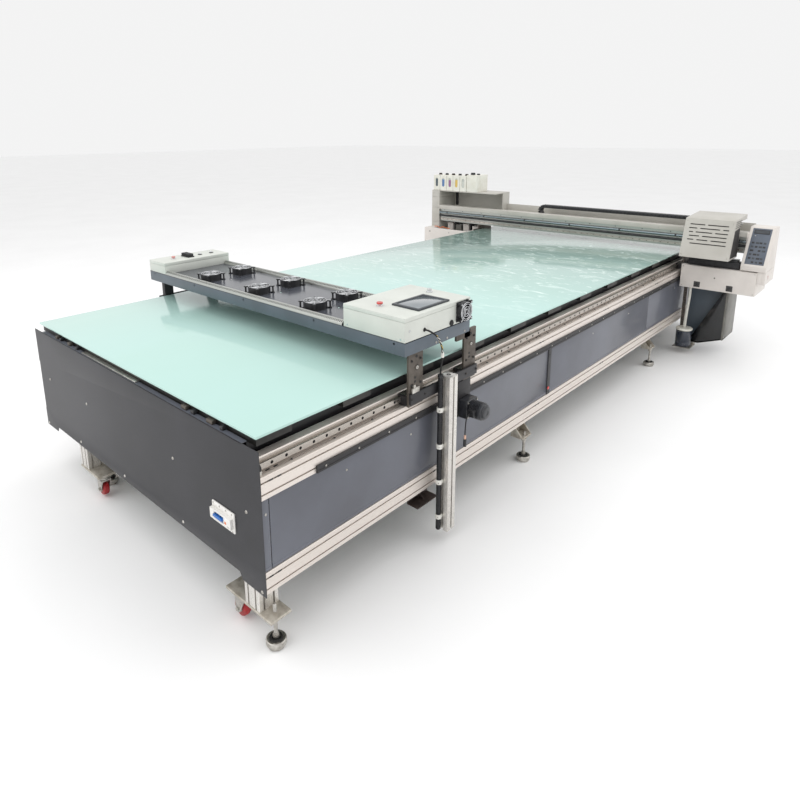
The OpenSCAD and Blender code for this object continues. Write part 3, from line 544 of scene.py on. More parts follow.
# loose fittings seen between the folded lip and the glass: a raw strip and a few brackets
bits.append(box((-420, near + 6, 831), (140, near + 29, 835), 0.8, 2))
for x, wide in ((-760, 26), (-700, 14), (-600, 30), (-500, 20), (520, 34), (590, 22), (700, 40), (790, 18)):
    bits.append(box((x, near + 8, 831), (x + wide, near + 29, 846), 1.5, 3 if wide > 25 else 1))
piece("bedRibs", bits, ["underBlack", "stripBlack", "zinc", "plateSteel"], "table", "dark_frame",
    "bed_supports")

# heavy beams with their T slots; the short dark marks are the slots' joining clips
beams = {"side": 90, "slots": (22.5, 67.5), "clips": (40, 76, 1000, 1036, 1960, 1996, 2860, 2896, 3800, 3836,
    4700, 4736)}
outline = slotOutline(beams["side"], beams["slots"], 6.5, 2.4, 15, 9)
length = far - near - 6.4
bits = [prism([(side - u, v) for u, v in outline], length, (0, near + 3.2, at["upper"]), "Y", 0, 0)]
bits.append(prism([(944.5, 730), (944.5, 779.5), (947, 780), (984, 780), (987.6, 776), (987.6, 745),
    (984, 742), (987.6, 739), (987.6, 730)], length, (0, near + 3.2, 0), "Y", 0, 0))
for y in beams["clips"]:
    bits.append(box((side - 1.5, near + y, at["upper"] + 64), (side + 0.6, near + y + 17, at["upper"] + 71),
        0.5, 1))
    bits.append(box((side - 34, near + y + 8, 729.5), (side - 26, near + y + 26, 730.8), 0.5, 1))
for y in range(160, 5200, 215):
    bits.append(capScrew((side - 22, near + y, 730), "Z", 4.5, 2.5, 1))
piece("upperBeams", both(bits), ["profile", "slotDark"], "table", "aluminium", "upper_beams")
bits = [prism([(side - u, v) for u, v in outline], length, (0, near + 3.2, at["lower"]), "Y", 0, 0)]
for y in beams["clips"]:
    bits.append(box((side - 1.5, near + y - 20, at["lower"] + 64),
        (side + 0.6, near + y - 3, at["lower"] + 71), 0.5, 1))
    bits.append(box((side - 30, near + y - 26, 349.5), (side - 23, near + y - 8, 350.8), 0.5, 1))
piece("lowerBeams", both(bits), ["profile", "slotDark"], "table", "aluminium", "lower_beams")

cross = {"side": 60, "at": (60, 1300, 2600, 3950, 5180)}
outline = slotOutline(cross["side"], (30,), 8, 4, 17, 11)
bits, more = [], []
for y in cross["at"]:
    y += near
    for z in (at["upper"] + 10, at["lower"] + 10):
        bits.append(prism([(y + u, z + v) for u, v in outline], 1887, (-943.5, 0, 0), "X", 0, 0))
    more.append(prism([(944 + u, y + v) for u, v in outline], 289, (0, 0, 350.5), "Z", 0, 1))
piece("crossMembers", bits + both(more), ["profileX", "profileZ"], "table", "aluminium", "cross_members")

# short end legs on cast plates, and the angle brackets half way along
legs = {"side": 90, "slots": (22.5, 67.5), "plate": (138, 150)}
outline = slotOutline(legs["side"], legs["slots"], 8, 3, 17, 10)


def legAt(x, y, top, x0, x1, y0, y1):
    made = [prism([(x - 45 + u, y - 45 + v) for u, v in outline], top - 150.4, (0, 0, 150.2), "Z", 0, 0)]
    made.append(box((x0, y0, legs["plate"][0]), (x1, y1, legs["plate"][1]), 2.5, 1, 3))
    for dx, dy in ((-36, -36), (36, -36), (-36, 36), (36, 36)):
        made.append(capScrew((x + dx * 1.05, y + dy * 1.05, 138), "Z", 5, -4.5, 2))
    return made


def bracketAt(y):
    made = [box((950, y - 49, 150), (1030, y + 49, 160), 1.5, 3),
        box((950, y - 49, 160), (960, y + 49, 259.5), 1.5, 3)]
    for dy in (-50, 44):
        made.append(prism([(960, 160), (1022, 160), (1018, 168), (968, 222), (960, 224)], 6, (0, y + dy, 0),
            "Y", 0.8, 3))
    for dy in (-28, 28):
        made.append(hexNut((960, y + dy, 235), "X", 8, 6, 2))
    return made


bits = legAt(934, near + 50, 259.5, 760, 1050, near + 2, near + 98) \
    + legAt(-560, near + 50, 268, -610, -395, near + 2, near + 170)
more = legAt(934, far - 50, 259.5, 884, 1050, far - 98, far - 2)
for y in (near + 1880, near + 3900):
    more += bracketAt(y)
more += [box((955, near + 881, 168), (1023, near + 1029, 176), 2, 4),
         box((955, near + 881, 176), (962, near + 1029, 259.5), 1.5, 4),
         prism([(962, 176), (1000, 176), (962, 214)], 5, (0, near + 955, 0), "Y", 0.6, 4)]
piece("legs", bits + both(more), ["profileZ", "castPlate", "zinc", "castPlate", "castDark"], "table",
    "aluminium", "legs")

foot = {"stem": 7.6, "pitch": 3.0, "top": 183, "turns": 45}
feet = [(-560, near + 130)] + [(1010, y) for y in (near + 50, near + 1880, near + 3900, far - 50)] \
    + [(-1010, y) for y in (near + 1880, near + 3900, far - 50)]
bits = []
for x, y in feet:
    thread = [(0, 40)]
    for k in range(foot["turns"]):
        z = 46 + k * foot["pitch"]
        thread += [(foot["stem"] - 0.9, z), (foot["stem"], z + foot["pitch"] * 0.5)]
    thread += [(foot["stem"] - 1, foot["top"] - 1), (foot["stem"] - 2, foot["top"]), (0, foot["top"])]
    bits.append(lathe(thread, (x, y, 0), "Z", 16, 0))
    bits.append(hexNut((x, y, 124), "Z", 15, 13.5, 0))
    bits.append(hexNut((x, y, 47), "Z", 12, 9, 0))
    bits.append(lathe([(0, 34), (13, 38), (13, 47), (9, 48), (0, 48)], (x, y, 0), "Z", 28, 0))
    # turned cup with a black ring let into it
    bits.append(lathe([(16, 36), (26, 33), (28, 33.6), (36, 34), (39.2, 31), (40, 27), (40, 14), (38, 9),
        (33.6, 8), (33.4, 0.4), (32, 0), (0, 0)], (x, y, 0), "Z", 40, 0))
    bits.append(lathe([(14, 30), (17, 37.5), (25, 37.8), (27, 33.8), (14, 30)], (x, y, 0), "Z", 40, 1))
piece("levellingFeet", bits, ["zinc", "rubber"], "table", "zinc_steel", "levelling_feet")

# sheet ends: folded lip on top, tabs at the lower corners
sheet = {"thick": 3, "top": 830, "low": 276, "tab": 248, "tabWide": 150, "slope": 26}
bits = []
lipCuts = ((1, 0.8), (1.2, 1))
for y0, lip in ((near, near), (far - 3, far - 26)):
    edge = [(-side, 830), (-side, 640), (-side + 5, 636), (-side + 5, 356), (-side, 352), (-side, 248),
            (-side + 146, 248), (-side + 150 + 12, 276), (side - 150 - 12, 276), (side - 146, 248),
            (side, 248), (side, 352), (side, 830)]
    bits.append(prism(edge, sheet["thick"], (0, y0, 0), "Y", 0.8, 0))
    # the lip's two top corners are cut a little differently, and the far lip mirrors the near one
    right, left = lipCuts if y0 == near else lipCuts[::-1]
    lipEdge = [(lip, 827.2), (lip + 26, 827.2), (lip + 26, 830 - right[1]), (lip + 26 - right[0], 830),
               (lip + left[0], 830), (lip, 830 - left[1])]
    bits.append(prism(lipEdge, 2 * side - 200, (-side + 100, 0, 0), "X", 0, 1))
# end sheets in the darker painted shade copy of the panel paint, their lips in the lighter painted light copy
piece("endPanels", bits, ["endCoatShaded", "sideCoatLit"], "table", "panel_grey", "end_panels")

panels = {"runs": ((3.5, 35), (38, 2080), (2120, 3697), (3700, 5296.5)), "low": 350, "high": 639}
bits = []
for a, b in panels["runs"]:
    a, b = near + a, near + b
    bits.append(box((1026.2, a, 358), (1029, b, panels["high"]), 0.7))
    # lower lip folds inward at a slant and catches the light
    bits.append(prism([(1004, 350.6), (1026, 350.6), (1030, 354), (1030, 366), (1026.3, 370), (1026.3, 357),
        (1024, 353.6), (1004, 353.4)], b - a, (0, a, 0), "Y", 0, 0))
    bits.append(box((1006, a, 611), (1026, b, 639.5), 0.7))
# long side panels in the lighter painted light copy of the panel paint
piece("sidePanels", both(bits), ["sideCoatLit"], "table", "panel_grey", "side_panels")

bits = [prism([(1016, near + 2082), (1031, near + 2082), (1034, near + 2085), (1034, near + 2115),
    (1031, near + 2118), (1016, near + 2118)], 289, (0, 0, 350.5), "Z", 0, 0),
        lathe([(0, 0), (10, 0), (10, 2), (8.5, 3.8), (0, 4.4)], (side - 0.5, near + 2096, 390), "X", 24, 1),
        lathe([(0, 0), (6, 0), (6, 1.2), (0, 2)], (side, near + 2100, 600), "X", 16, 0)]
piece("panelPosts", both(bits), ["blackPlastic", "lampRed"], "table", "black_plastic", "panel_posts")

# linear rail: ground bar, relieved above and below, a screw sunk in every pocket
rail = {"pitch": 66, "first": 53, "pocket": 6.5, "deep": 9, "z": 756, "half": 12}
length = far - near - 40
holes = [rail["first"] + i * rail["pitch"] for i in range(int((far - near - 130) / rail["pitch"]) + 1)]
bits = [prism([(988.2, 744), (996, 744), (996, 746.4), (1002, 746.4), (1002, 744), (1009.2, 744),
    (1009.9, 744.8), (1000.8, 745), (1000.8, 767), (1009.9, 767.2), (1009.2, 768), (1002, 768), (1002, 765.6),
               (996, 765.6), (996, 768), (988.2, 768)], length, (0, near + 20, 0), "Y", 0, 0)]
bits.append(holedStrip((1010, near + 20, rail["z"]), (0, 1, 0), (0, 0, 1), (1, 0, 0), length, 23, holes,
                       rail["pocket"], rail["deep"], 0, 1))
for h in holes:
    bits.append(capScrew((1001.5, near + 20 + h, rail["z"]), "X", 5, 4.5, 2))
piece("guideRails", both(bits), ["railSteel", "slotDark", "stripBlack"], "table", "rail_steel", "guide_rails",
    fix=True)

bits = [prism([(1034.2, 642), (1043, 642), (1044, 643), (1044, 651), (1042, 652), (1042, 662), (1044, 663),
    (1044, 671), (1043, 672), (1034.2, 672)], far - near - 316, (0, near + 255.5, 0), "Y", 0, 0)]
for y in range(300, 5200, 180):
    bits.append(capScrew((1041.9, near + y, 657), "X", 4.2, 1.8, 1))
piece("driveStrips", both(bits), ["stripBlack", "zinc"], "table", "dark_frame", "drive_strips")

bits = []
for y in (near + 4, far - 18):
    bits.append(lathe([(0, 0), (15, 0), (18.5, 2), (19, 5), (19, 9), (18, 12.6), (15, 14), (6, 14), (5, 11),
        (0, 11)], (1007.3, y, 756), "Y", 28, 0))
    bits.append(box((988.3, y, 730.2), (1025.5, y + 14, 750), 1.5, 1))
piece("endStops", both(bits), ["rubber", "zinc"], "table", "black_rubber", "end_stops")

screws = {"end": ((-900, 560), (-420, 560), (430, 580), (940, 560), (-560, 300), (-60, 300), (470, 300),
    (1010, 262), (-1010, 262)), "side": (20, 420, 820, 1300, 2700, 3300, 4300)}
bits = [lathe([(0, -1.2), (2.6, -1.2), (3.2, -2.9), (5.6, -2.2), (7, 0), (0, 0)], (x, near, z), "Y", 18, 0)
        for x, z in screws["end"]]
bits += both([lathe([(0, 1.0), (2, 1.0), (2.4, 2.4), (4.2, 1.9), (5, 0), (0, 0)], (side - 5, near + y, 580),
    "X", 16, 0)
              for y in screws["side"]])
piece("panelScrews", bits, ["zinc"], "table", "zinc_steel", "panel_screws")

# breaker let into the near panel: white body, recess, three blue toggles on one bar, orange test key
breaker = {"lo": (722, 435), "hi": (868, 520), "front": near - 8}
f = breaker["front"]
bits = [box((722, f, 435), (868, near, 520), 4, 0, 3),
        box((727, f - 14, 456), (755.6, f, 499), 1.6, 0), box((817.4, f - 14, 456), (863, f, 499), 1.6, 0),
        box((755, f - 13.6, 456), (818, f, 463.8), 1.2, 0),
        box((755, f - 13.6, 491.2), (818, f, 499), 1.2, 0), box((756, f + 1, 464), (817, f + 4, 491), 0.4, 3),
        box((826, f - 15.4, 470), (836, f - 13, 480), 1, 1),
        box((842, f - 15, 463), (858, f - 13.4, 466), 0.5, 2)]
for x in (734, 776, 818, 856):
    for z in (441, 514):
        bits.append(rod((x, f + 0.8, z), "Y", 3.6, -2.2, 2, 0.3, 14))
piece("breakerBody", bits, ["breakerWhite", "testOrange", "zinc", "slotDark"], "table", "breaker_white",
    "breaker_body")
bits = [rod((756.6, near - 10, 477.5), "X", 3, 60, 0, 0.5, 16)]
for x in (758, 778, 798):
    bits.append(rod((x, near - 10, 477.5), "X", 5.2, 17, 0, 0.6, 20))
    bits.append(prism([(near - 10, 473), (near - 10, 483), (near - 22, 484), (near - 27, 482.5),
        (near - 27, 475)], 17, (x, 0, 0), "X", 0.8, 0))
bits.append(box((758, near - 30, 476), (815, near - 24, 486), 1.6, 0, 3))
piece("breakerToggles", bits, ["toggleBlue"], "breaker_toggle", "breaker_blue", "breaker_lever")


def casterFork(name, x, y, body, node):
    made = [lathe([(0, 0), (24, 0), (33, 3), (34, 6), (34, 9), (30, 11), (30, 14), (34, 16), (34, 22),
        (32, 25.4), (0, 25.4)], (x, y, 112), "Z", 36, 0)]
    for dy in (19.6, -24.4):
        made.append(prism([(x - 34, 112.5), (x - 31, 96), (x - 27, 44), (x - 22, 36), (x - 12, 33),
            (x - 3, 36), (x + 3, 44), (x + 26, 92), (x + 33, 112.5)], 4.8, (0, y + dy, 0), "Y", 0.9, 0))
    made.append(box((x - 34, y - 24.4, 104), (x + 32, y + 24.4, 113), 2, 0))
    made.append(rod((x - 12, y - 26.5, 50), "Y", 5.9, 53, 0, 0.8, 20))
    for dy, h in ((24.6, 6), (-24.6, -6)):
        made.append(hexNut((x - 12, y + dy, 50), "Y", 9, h, 0) if h > 0 else hexNut((x - 12, y + dy - 6, 50),
            "Y", 9, 6, 0))
    # brake pedal: curled sheet with a ring pressed in it
    made.append(prism([(x - 70, 91), (x - 66, 90), (x - 33, 94), (x - 33, 111), (x - 37, 111), (x - 37, 98),
        (x - 66, 95), (x - 70, 96.4)], 28, (0, y - 14, 0), "Y", 0.8, 0))
    made.append(ringOfWire(8, 1.6, 97, (x - 54, y, 0), "Z", 0, 24))
    return piece(name, made, ["zinc"], body, "zinc_steel", node)


def casterWheel(name, x, y, body, node):
    tread = [(16, -15.5), (30, -15), (35, -14), (37.4, -10), (38, -4), (38, 4), (37.4, 10), (35, 14),
        (30, 15), (16, 15.5)]
    hub = [(6.2, -19), (13, -19), (15.8, -17), (15.8, -13), (24, -12), (26, -9), (26, 9), (24, 12),
        (15.8, 13), (15.8, 17), (13, 19), (6.2, 19), (6.2, -19)]
    made = [lathe(tread, (x, y, 50), "Y", 44, 0), lathe(hub, (x, y, 50), "Y", 32, 1)]
    for k in range(5):
        a = math.tau * k / 5
        for s in (-1, 1):
            made.append(rod((x + 20 * math.cos(a), y + s * 13.4, 50 + 20 * math.sin(a)), "Y", 2.2,
                            s * 1.2, 1, 0.2, 10))
    return piece(name, made, ["wheelRed", "zinc"], body, "wheel_red", node)


for word, x in (("Left", -445), ("Right", 812)):
    casterFork("casterFork" + word, x, near + 50, "swivel_" + word.lower(), "caster_fork_" + word.lower())
    casterWheel("casterWheel" + word, x - 12, near + 50, "wheel_" + word.lower(),
        "caster_wheel_" + word.lower())
print("table done")

# dryer gantry
dy, dyEnd, deck = at["dryer"], at["dryerEnd"], at["deck"]
dl, dr, plate = at["dryerLeft"], at["dryerRight"], at["plate"]

channel = {"low": 982, "wall": 4, "ribs": (-720, -240, 240, 720)}
lo, wall = channel["low"], channel["wall"]
bits = [box((dl, dy, lo), (dr, dy + wall, deck - 3.2), 1.2),
    box((dl, dyEnd - wall, lo), (dr, dyEnd, deck - 3.2), 1.2),
        box((dl, dy + 3, lo), (dl + wall, dyEnd - 3, deck - 3.2), 1),
        box((dr - wall, dy + 3, lo), (dr, dyEnd - 3, deck - 3.2), 1),
        box((dl + 1, dy + 1, lo), (dr - 1, dy + 60, lo + wall), 1),
        box((dl + 1, dyEnd - 60, lo), (dr - 1, dyEnd - 1, lo + wall), 1),
        box((dl + 1, dy + 59, lo), (dl + 150, dyEnd - 59, lo + wall), 1),
        box((dr - 150, dy + 59, lo), (dr - 1, dyEnd - 59, lo + wall), 1)]
for x in channel["ribs"]:
    bits.append(box((x - 2, dy + wall, lo + wall), (x + 2, dyEnd - wall, deck - 4), 0))
for x in (dl + 60, dl + 520, dl + 1000, dr - 560, dr - 60):
    bits.append(lathe([(0, 0.6), (2, 0.6), (2.6, 1.6), (4.4, 1.2), (5, 0), (0, 0)], (x, dy, deck - 14), "Y",
        14, 1))
for y in (dy + 210, dy + 290, dyEnd - 40):
    bits.append(lathe([(0, 0), (5, 0), (5, 1.5), (2.4, 2.2), (2, 0.8), (0, 0.8)], (dr, y, lo + 12), "X", 14,
        1))
piece("dryerChannel", bits, ["channelCoat", "zinc"], "dryer_gantry", "panel_grey", "dryer_frame")

fans = {"side": 120, "tall": 38, "at": [(x, y) for y in (dy + 115, dy + 335) for x in (-519, -50, 404)]}


def deckSheet():
    # flat deck with six round throats cut through it
    xs = [dl + 0.4, -519 - 90, -519 + 90, -50 - 90, -50 + 90, 404 - 90, 404 + 90, dr - 0.4]
    ys = [dy + 0.4, dy + 115 - 90, dy + 115 + 90, dy + 335 - 90, dy + 335 + 90, dyEnd - 0.4]
    bm = bmesh.new()
    for j in range(5):
        for i in range(7):
            x0, x1, y0, y1 = xs[i], xs[i + 1], ys[j], ys[j + 1]
            if i % 2 == 1 and j % 2 == 1:
                cx, cy, square, circle = (x0 + x1) / 2, (y0 + y1) / 2, [], []
                for k in range(24):
                    a = math.tau * (k + 0.5) / 24
                    u, v = math.cos(a), math.sin(a)
                    s = 90 / max(abs(u), abs(v))
                    square.append((cx + u * s, cy + v * s))
                    circle.append((cx + u * 54, cy + v * 54))
                for z in (deck, deck - 3):
                    sv = [bm.verts.new((*q, z)) for q in square]
                    cv = [bm.verts.new((*q, z)) for q in circle]
                    for k in range(24):
                        bm.faces.new((sv[k], sv[(k + 1) % 24], cv[(k + 1) % 24], cv[k]))
                a, b = [bm.verts.new((*q, deck)) for q in circle], [bm.verts.new((*q,
                    deck - 3)) for q in circle]
                for k in range(24):
                    bm.faces.new((a[k], a[(k + 1) % 24], b[(k + 1) % 24], b[k]))
            else:
                for z in (deck, deck - 3):
                    bm.faces.new([bm.verts.new((x, y, z))
                        for x, y in ((x0, y0), (x1, y0), (x1, y1), (x0, y1))])
    flatOnly(bm, [])
    for face in bm.faces:
        face.normal_update()
        if abs(face.normal.z) > 0.9 and (face.normal.z > 0) != (face.calc_center_median().z > deck - 1):
            face.normal_flip()
    return bm


def halfRound(y, x0, x1, pitch):
    # perforated half round edging: rings of open slots along a curved strip, with a dark half tube inside as painted
    # shade seen through them
    bm = bmesh.new()
    steps, r = 10, 20
    n = int((x1 - x0) / pitch)
    rows = [[(x0 + pitch * (i + f), [(y - r * math.cos(math.pi * k / steps),
        deck + r * math.sin(math.pi * k / steps))
                                     for k in range(steps + 1)]) for f in (0, 0.55)] for i in range(n)]
    last = None
    for pair in rows:
        cols = []
        for x, line in pair:
            cols.append([bm.verts.new((x, a, b)) for a, b in line])
        for k in range(steps):
            bm.faces.new((cols[0][k], cols[1][k], cols[1][k + 1], cols[0][k + 1]))
        if last:
            for k in range(steps):
                if k in (2, 3, 6, 7):
                    continue
                bm.faces.new((last[k], cols[0][k], cols[0][k + 1], last[k + 1]))
        last = cols[1]
    for face in bm.faces:
        face.smooth = True
    # dark half tube inside the edging: painted shade behind the slots
    shadeLiner = lathe([(r - 3, 0), (r - 3, x1 - x0 - pitch)], (x0, y, deck), "X", 20, 1)
    cut = bmesh.ops.bisect_plane(shadeLiner, geom=shadeLiner.verts[:] + shadeLiner.edges[:] + shadeLiner.faces[:],
        plane_co=(0, y, deck), plane_no=(0, 0, -1), clear_outer=True)
    return [setMat(bm, 2), shadeLiner]


bits = [deckSheet(), box((dl, dy, deck - 3), (dr, dy + 1.4, deck), 0),
    box((dl, dyEnd - 1.4, deck - 3), (dr, dyEnd, deck), 0)]
for y in (dy + 21, dyEnd - 21):
    bits += halfRound(y, dl + 191, dr - 361, 11)
piece("dryerDeck", bits, ["deckCoat", "slotDark", "beamSteel"], "dryer_gantry", "deck_steel", "dryer_deck",
    fix=False)


def fanHousing(a, h, where):
    half, r = a / 2, a / 2 - 4
    made = []
    # round waist in four quarters, with ears and a post at each corner
    for q in range(4):
        pts = []
        for k in range(9):
            t = math.radians(-45 + 90 * k / 8)
            pts.append((r * math.cos(t), r * math.sin(t)))
        shape = [(x * (half - 0.6) / r, y * (half - 0.6) / r) for x, y in pts] + pts[::-1]
        wallPart = prism([(u, v) for u, v in shape], h, (0, 0, 0), "Z", 0, 0)
        bmesh.ops.rotate(wallPart, matrix=Matrix.Rotation(q * math.pi / 2, 3, "Z"), verts=wallPart.verts)
        made.append(wallPart)
        for z in (0, h - 5):
            ear = prism([(r * 0.707, r * 0.707), (half - 15, half), (half - 3, half), (half, half - 3),
                (half, half - 15)], 5, (0, 0, z), "Z", 0.7, 0)
            bmesh.ops.rotate(ear, matrix=Matrix.Rotation(q * math.pi / 2, 3, "Z"), verts=ear.verts)
            made.append(ear)
        post = rod((half - 8, half - 8, 4), "Z", 4.6, h - 8, 0, 0.5, 14)
        bmesh.ops.rotate(post, matrix=Matrix.Rotation(q * math.pi / 2, 3, "Z"), verts=post.verts)
        made.append(post)
        bolt = capScrew((half - 8, half - 8, h), "Z", 3.6, 2.0, 1)
        bmesh.ops.rotate(bolt, matrix=Matrix.Rotation(q * math.pi / 2, 3, "Z"), verts=bolt.verts)
        made.append(bolt)
        stay = prism([(a / 5 - 2, -2.4), (r + 0.5, -1.6), (r + 0.5, 1.6), (a / 5 - 2, 2.4)], 4, (0, 0, 0),
            "Z", 0.4, 0)
        bmesh.ops.rotate(stay, matrix=Matrix.Rotation(q * math.pi / 2 + math.pi / 4, 3, "Z"),
            verts=stay.verts)
        made.append(stay)
    made.append(lathe([(0, 0), (a / 5, 0), (a / 5, 3.6), (a / 5 - 1, 4), (0, 4)], (0, 0, 0), "Z", 30, 0))
    # wire guard: four rings and two crossed wires
    for ring in (a / 8, a / 4, a * 3 / 8, a / 2 - 4):
        made.append(ringOfWire(ring, 1.5, h + 1, (0, 0, 0), "Z", 1))
    for q in range(4):
        t = q * math.pi / 2 + math.pi / 4
        reach = a * 0.61
        made.append(sweep([(math.cos(t) * a / 8, math.sin(t) * a / 8, h + 1),
            (math.cos(t) * reach, math.sin(t) * reach, h + 1)], 1.6, 1, 6))
    for bm in made:
        bmesh.ops.transform(bm, matrix=where, verts=bm.verts)
    return made


def fanRotor(a, h, where):
    hub = a / 5 - 1
    made = [lathe([(0, 4.5), (hub - 1, 4.5), (hub, 6), (hub, h - 6), (hub - 2, h - 3.6), (0, h - 3.6)],
        (0, 0, 0), "Z", 32, 0)]
    reach, count = a / 2 - 5.4, 7
    for i in range(count):
        t = math.tau * i / count
        bm = bmesh.new()
        rows = []
        for s in range(6):
            r = hub - 1 + (reach - hub + 1) * s / 5
            sweepBack = t + 0.10 * s
            row = []
            for c in range(5):
                u = (c / 4 - 0.5)
                ang = sweepBack + u * (0.62 + 0.05 * s)
                z = h / 2 + 1 + u * (h * 0.42) * (1 - 0.04 * s) + 1.6 * (1 - 4 * u * u)
                row.append((r * math.cos(ang), r * math.sin(ang), z))
            rows.append(row)
        for off in (0.55, -0.55):
            grid = [[bm.verts.new((x, y, z + off)) for x, y, z in row] for row in rows]
            for s in range(5):
                for c in range(4):
                    bm.faces.new((grid[s][c], grid[s][c + 1], grid[s + 1][c + 1], grid[s + 1][c]))
        edges = [e for e in bm.edges if e.is_boundary]
        bmesh.ops.bridge_loops(bm, edges=edges)
        bmesh.ops.recalc_face_normals(bm, faces=bm.faces)
        for face in bm.faces:
            face.smooth = True
        made.append(setMat(bm, 0))
    for bm in made:
        bmesh.ops.transform(bm, matrix=where, verts=bm.verts)
    return made


sideFan = {"side": 92, "tall": 25, "at": (dr, dy + 400, deck + 54)}
sidePlace = Matrix.Translation(sideFan["at"]) @ Matrix.Rotation(math.radians(90), 4, "Y")
bits = []
for x, y in fans["at"]:
    bits += fanHousing(fans["side"], fans["tall"], Matrix.Translation((x, y, deck)))
bits += fanHousing(sideFan["side"], sideFan["tall"], sidePlace)
sx, sy, sz = sideFan["at"]
bits.append(box((sx, sy - 46, sz - 46), (sx + 3, sy + 46, sz + 46), 2))
piece("fanHousings", bits, ["blackPlastic", "chrome"], "dryer_gantry", "black_plastic", "fan_frames")
for i, (x, y) in enumerate(fans["at"]):
    piece("fanRotor%d" % (i + 1), fanRotor(fans["side"], fans["tall"], Matrix.Translation((x, y, deck))),
        ["blackGloss"], "deck_fan_%d" % (i + 1), "black_plastic", "fan_rotor_%d" % (i + 1))
piece("sideFanRotor", fanRotor(sideFan["side"], sideFan["tall"], sidePlace), ["blackGloss"], "side_fan",
    "black_plastic", "side_fan_rotor")
print("fans done")

control = {"wide": 360, "tall": 106, "screen": (dr - 178, dy + 120, dr - 26, dy + 340)}
bx, bt = dr - control["wide"], deck + control["tall"]
stop, start, left = (870, dy + 78, bt), (885, dy + 410, bt), (dl + 105, dy + 110, deck + 70)


def openBox(x0, y0, z0, x1, y1, z1):
    # sheet box with a lid that overlaps its sides by a hairline
    return [box((x0 + 0.6, y0 + 0.6, z0 + 0.1), (x1 - 0.6, y1 - 0.6, z1 - 20), 1.6),
            box((x0, y0, z1 - 19.4), (x1, y1, z1 - 0.2), 2.4, 0, 3)]


bits = openBox(bx, dy, deck, dr, dyEnd, bt)
for p in (stop, start):
    bits.append(lathe([(8.1, 0), (15, 0), (15, 2.6), (13.6, 4), (8.6, 4), (8.1, 3)], p, "Z", 36, 1))
for y in (dy + 30, dyEnd - 30):
    bits.append(lathe([(0, 1.4), (1.8, 1.4), (2.2, 2.4), (4, 1.6), (4.4, 0), (0, 0)], (dr, y, bt - 60), "X",
        14, 1))
for x in (bx + 24, dr - 24):
    bits.append(lathe([(0, 1.2), (1.8, 1.2), (2.2, 2.2), (4, 1.6), (4.4, 0), (0, 0)],
        (x, dy - 0.4, deck + 12), "Y", 14, 1))
bits.append(lathe([(0, 0), (14, 0), (14, 2), (11, 5), (9, 6.8), (0, 6.8)], (dr, dy + 320, deck + 14), "X", 24,
    2))
bits.append(lathe([(0, 0), (9, 0), (9, 1), (6, 1.6), (0, 1.6)], (dr, dy + 128, 1071), "X", 24, 2))
piece("controlBox", bits, ["boxCoat", "chrome", "rubber"], "dryer_gantry", "box_white", "control_box")

sx0, sy0, sx1, sy1 = control["screen"]
bits = [box((sx0, sy0, bt - 3.5), (sx1, sy0 + 16, bt + 7.8), 1.8),
    box((sx0, sy1 - 16, bt - 3.5), (sx1, sy1, bt + 7.8), 1.8),
        box((sx0, sy0 + 14, bt - 3.5), (sx0 + 14, sy1 - 14, bt + 7.8), 1.8),
        box((sx1 - 14, sy0 + 14, bt - 3.5), (sx1, sy1 - 14, bt + 7.8), 1.8),
        box((sx0 + 12, sy0 + 14, bt - 3.5), (sx1 - 12, sy1 - 14, bt + 4.8), 0.5, 1)]
piece("touchScreen", bits, ["screenFrame", "screenGlass"], "dryer_gantry", "black_plastic", "touch_screen")


def pushCap(name, p, r, mat, body, slotName, node):
    x, y, z = p
    made = [rod((x, y, z - 7.5), "Z", 7.8, 15.5, 0, 0.4, 28),
            lathe([(0, 8), (r - 2, 8), (r - 1, 9), (r, 11), (r, 15.4), (r - 1.2, 16.8), (r * 0.7, 17),
            (r * 0.5, 16.4), (0, 16.1)], (x, y, z), "Z", 36, 0),
            lathe([(r - 2.4, 8.1), (r + 0.0, 8.3), (r + 0.0, 10.4), (r - 1.6, 10.9)], (x, y, z), "Z", 36, 1)]
    return piece(name, made, [mat, "chrome"], body, slotName, node)


pushCap("stopButton", stop, 14, "lampRed", "stop_cap", "button_red", "stop_button")
pushCap("startButton", start, 11, "chrome", "start_cap", "button_steel", "start_button")
pushCap("leftButton", left, 12, "lampPink", "left_cap", "button_pink", "left_button")

bits = openBox(dl, dy, deck, dl + 190, dyEnd, deck + 70)
bits.append(lathe([(8.1, 0), (15, 0), (15, 2.6), (13.6, 4), (8.6, 4), (8.1, 3)], left, "Z", 36, 1))
x0 = left[0] - 50
bits.append(box((x0, dy + 190, deck + 69.8), (x0 + 90, dy + 235, deck + 76), 1.2, 2))
for k in range(9):
    bits.append(box((x0 + 3 + k * 9.6, dy + 193, deck + 75), (x0 + 8.6 + k * 9.6, dy + 232, deck + 92), 1.2,
        2))
for y in (dy + 300, dy + 385):
    bits.append(lathe([(0, 0), (14, 0), (14, 2), (11, 4), (10.4, 4), (0, 4)], (left[0], y, deck + 70), "Z",
        28, 2))
    bits.append(lathe([(0, 4), (9.6, 4), (10, 5), (10, 9), (8.6, 11.4), (6, 12), (5, 11), (0, 11)],
        (left[0], y, deck + 70), "Z", 28, 1))
piece("leftBox", bits, ["boxCoat", "chrome", "blackPlastic"], "dryer_gantry", "box_white", "left_box")
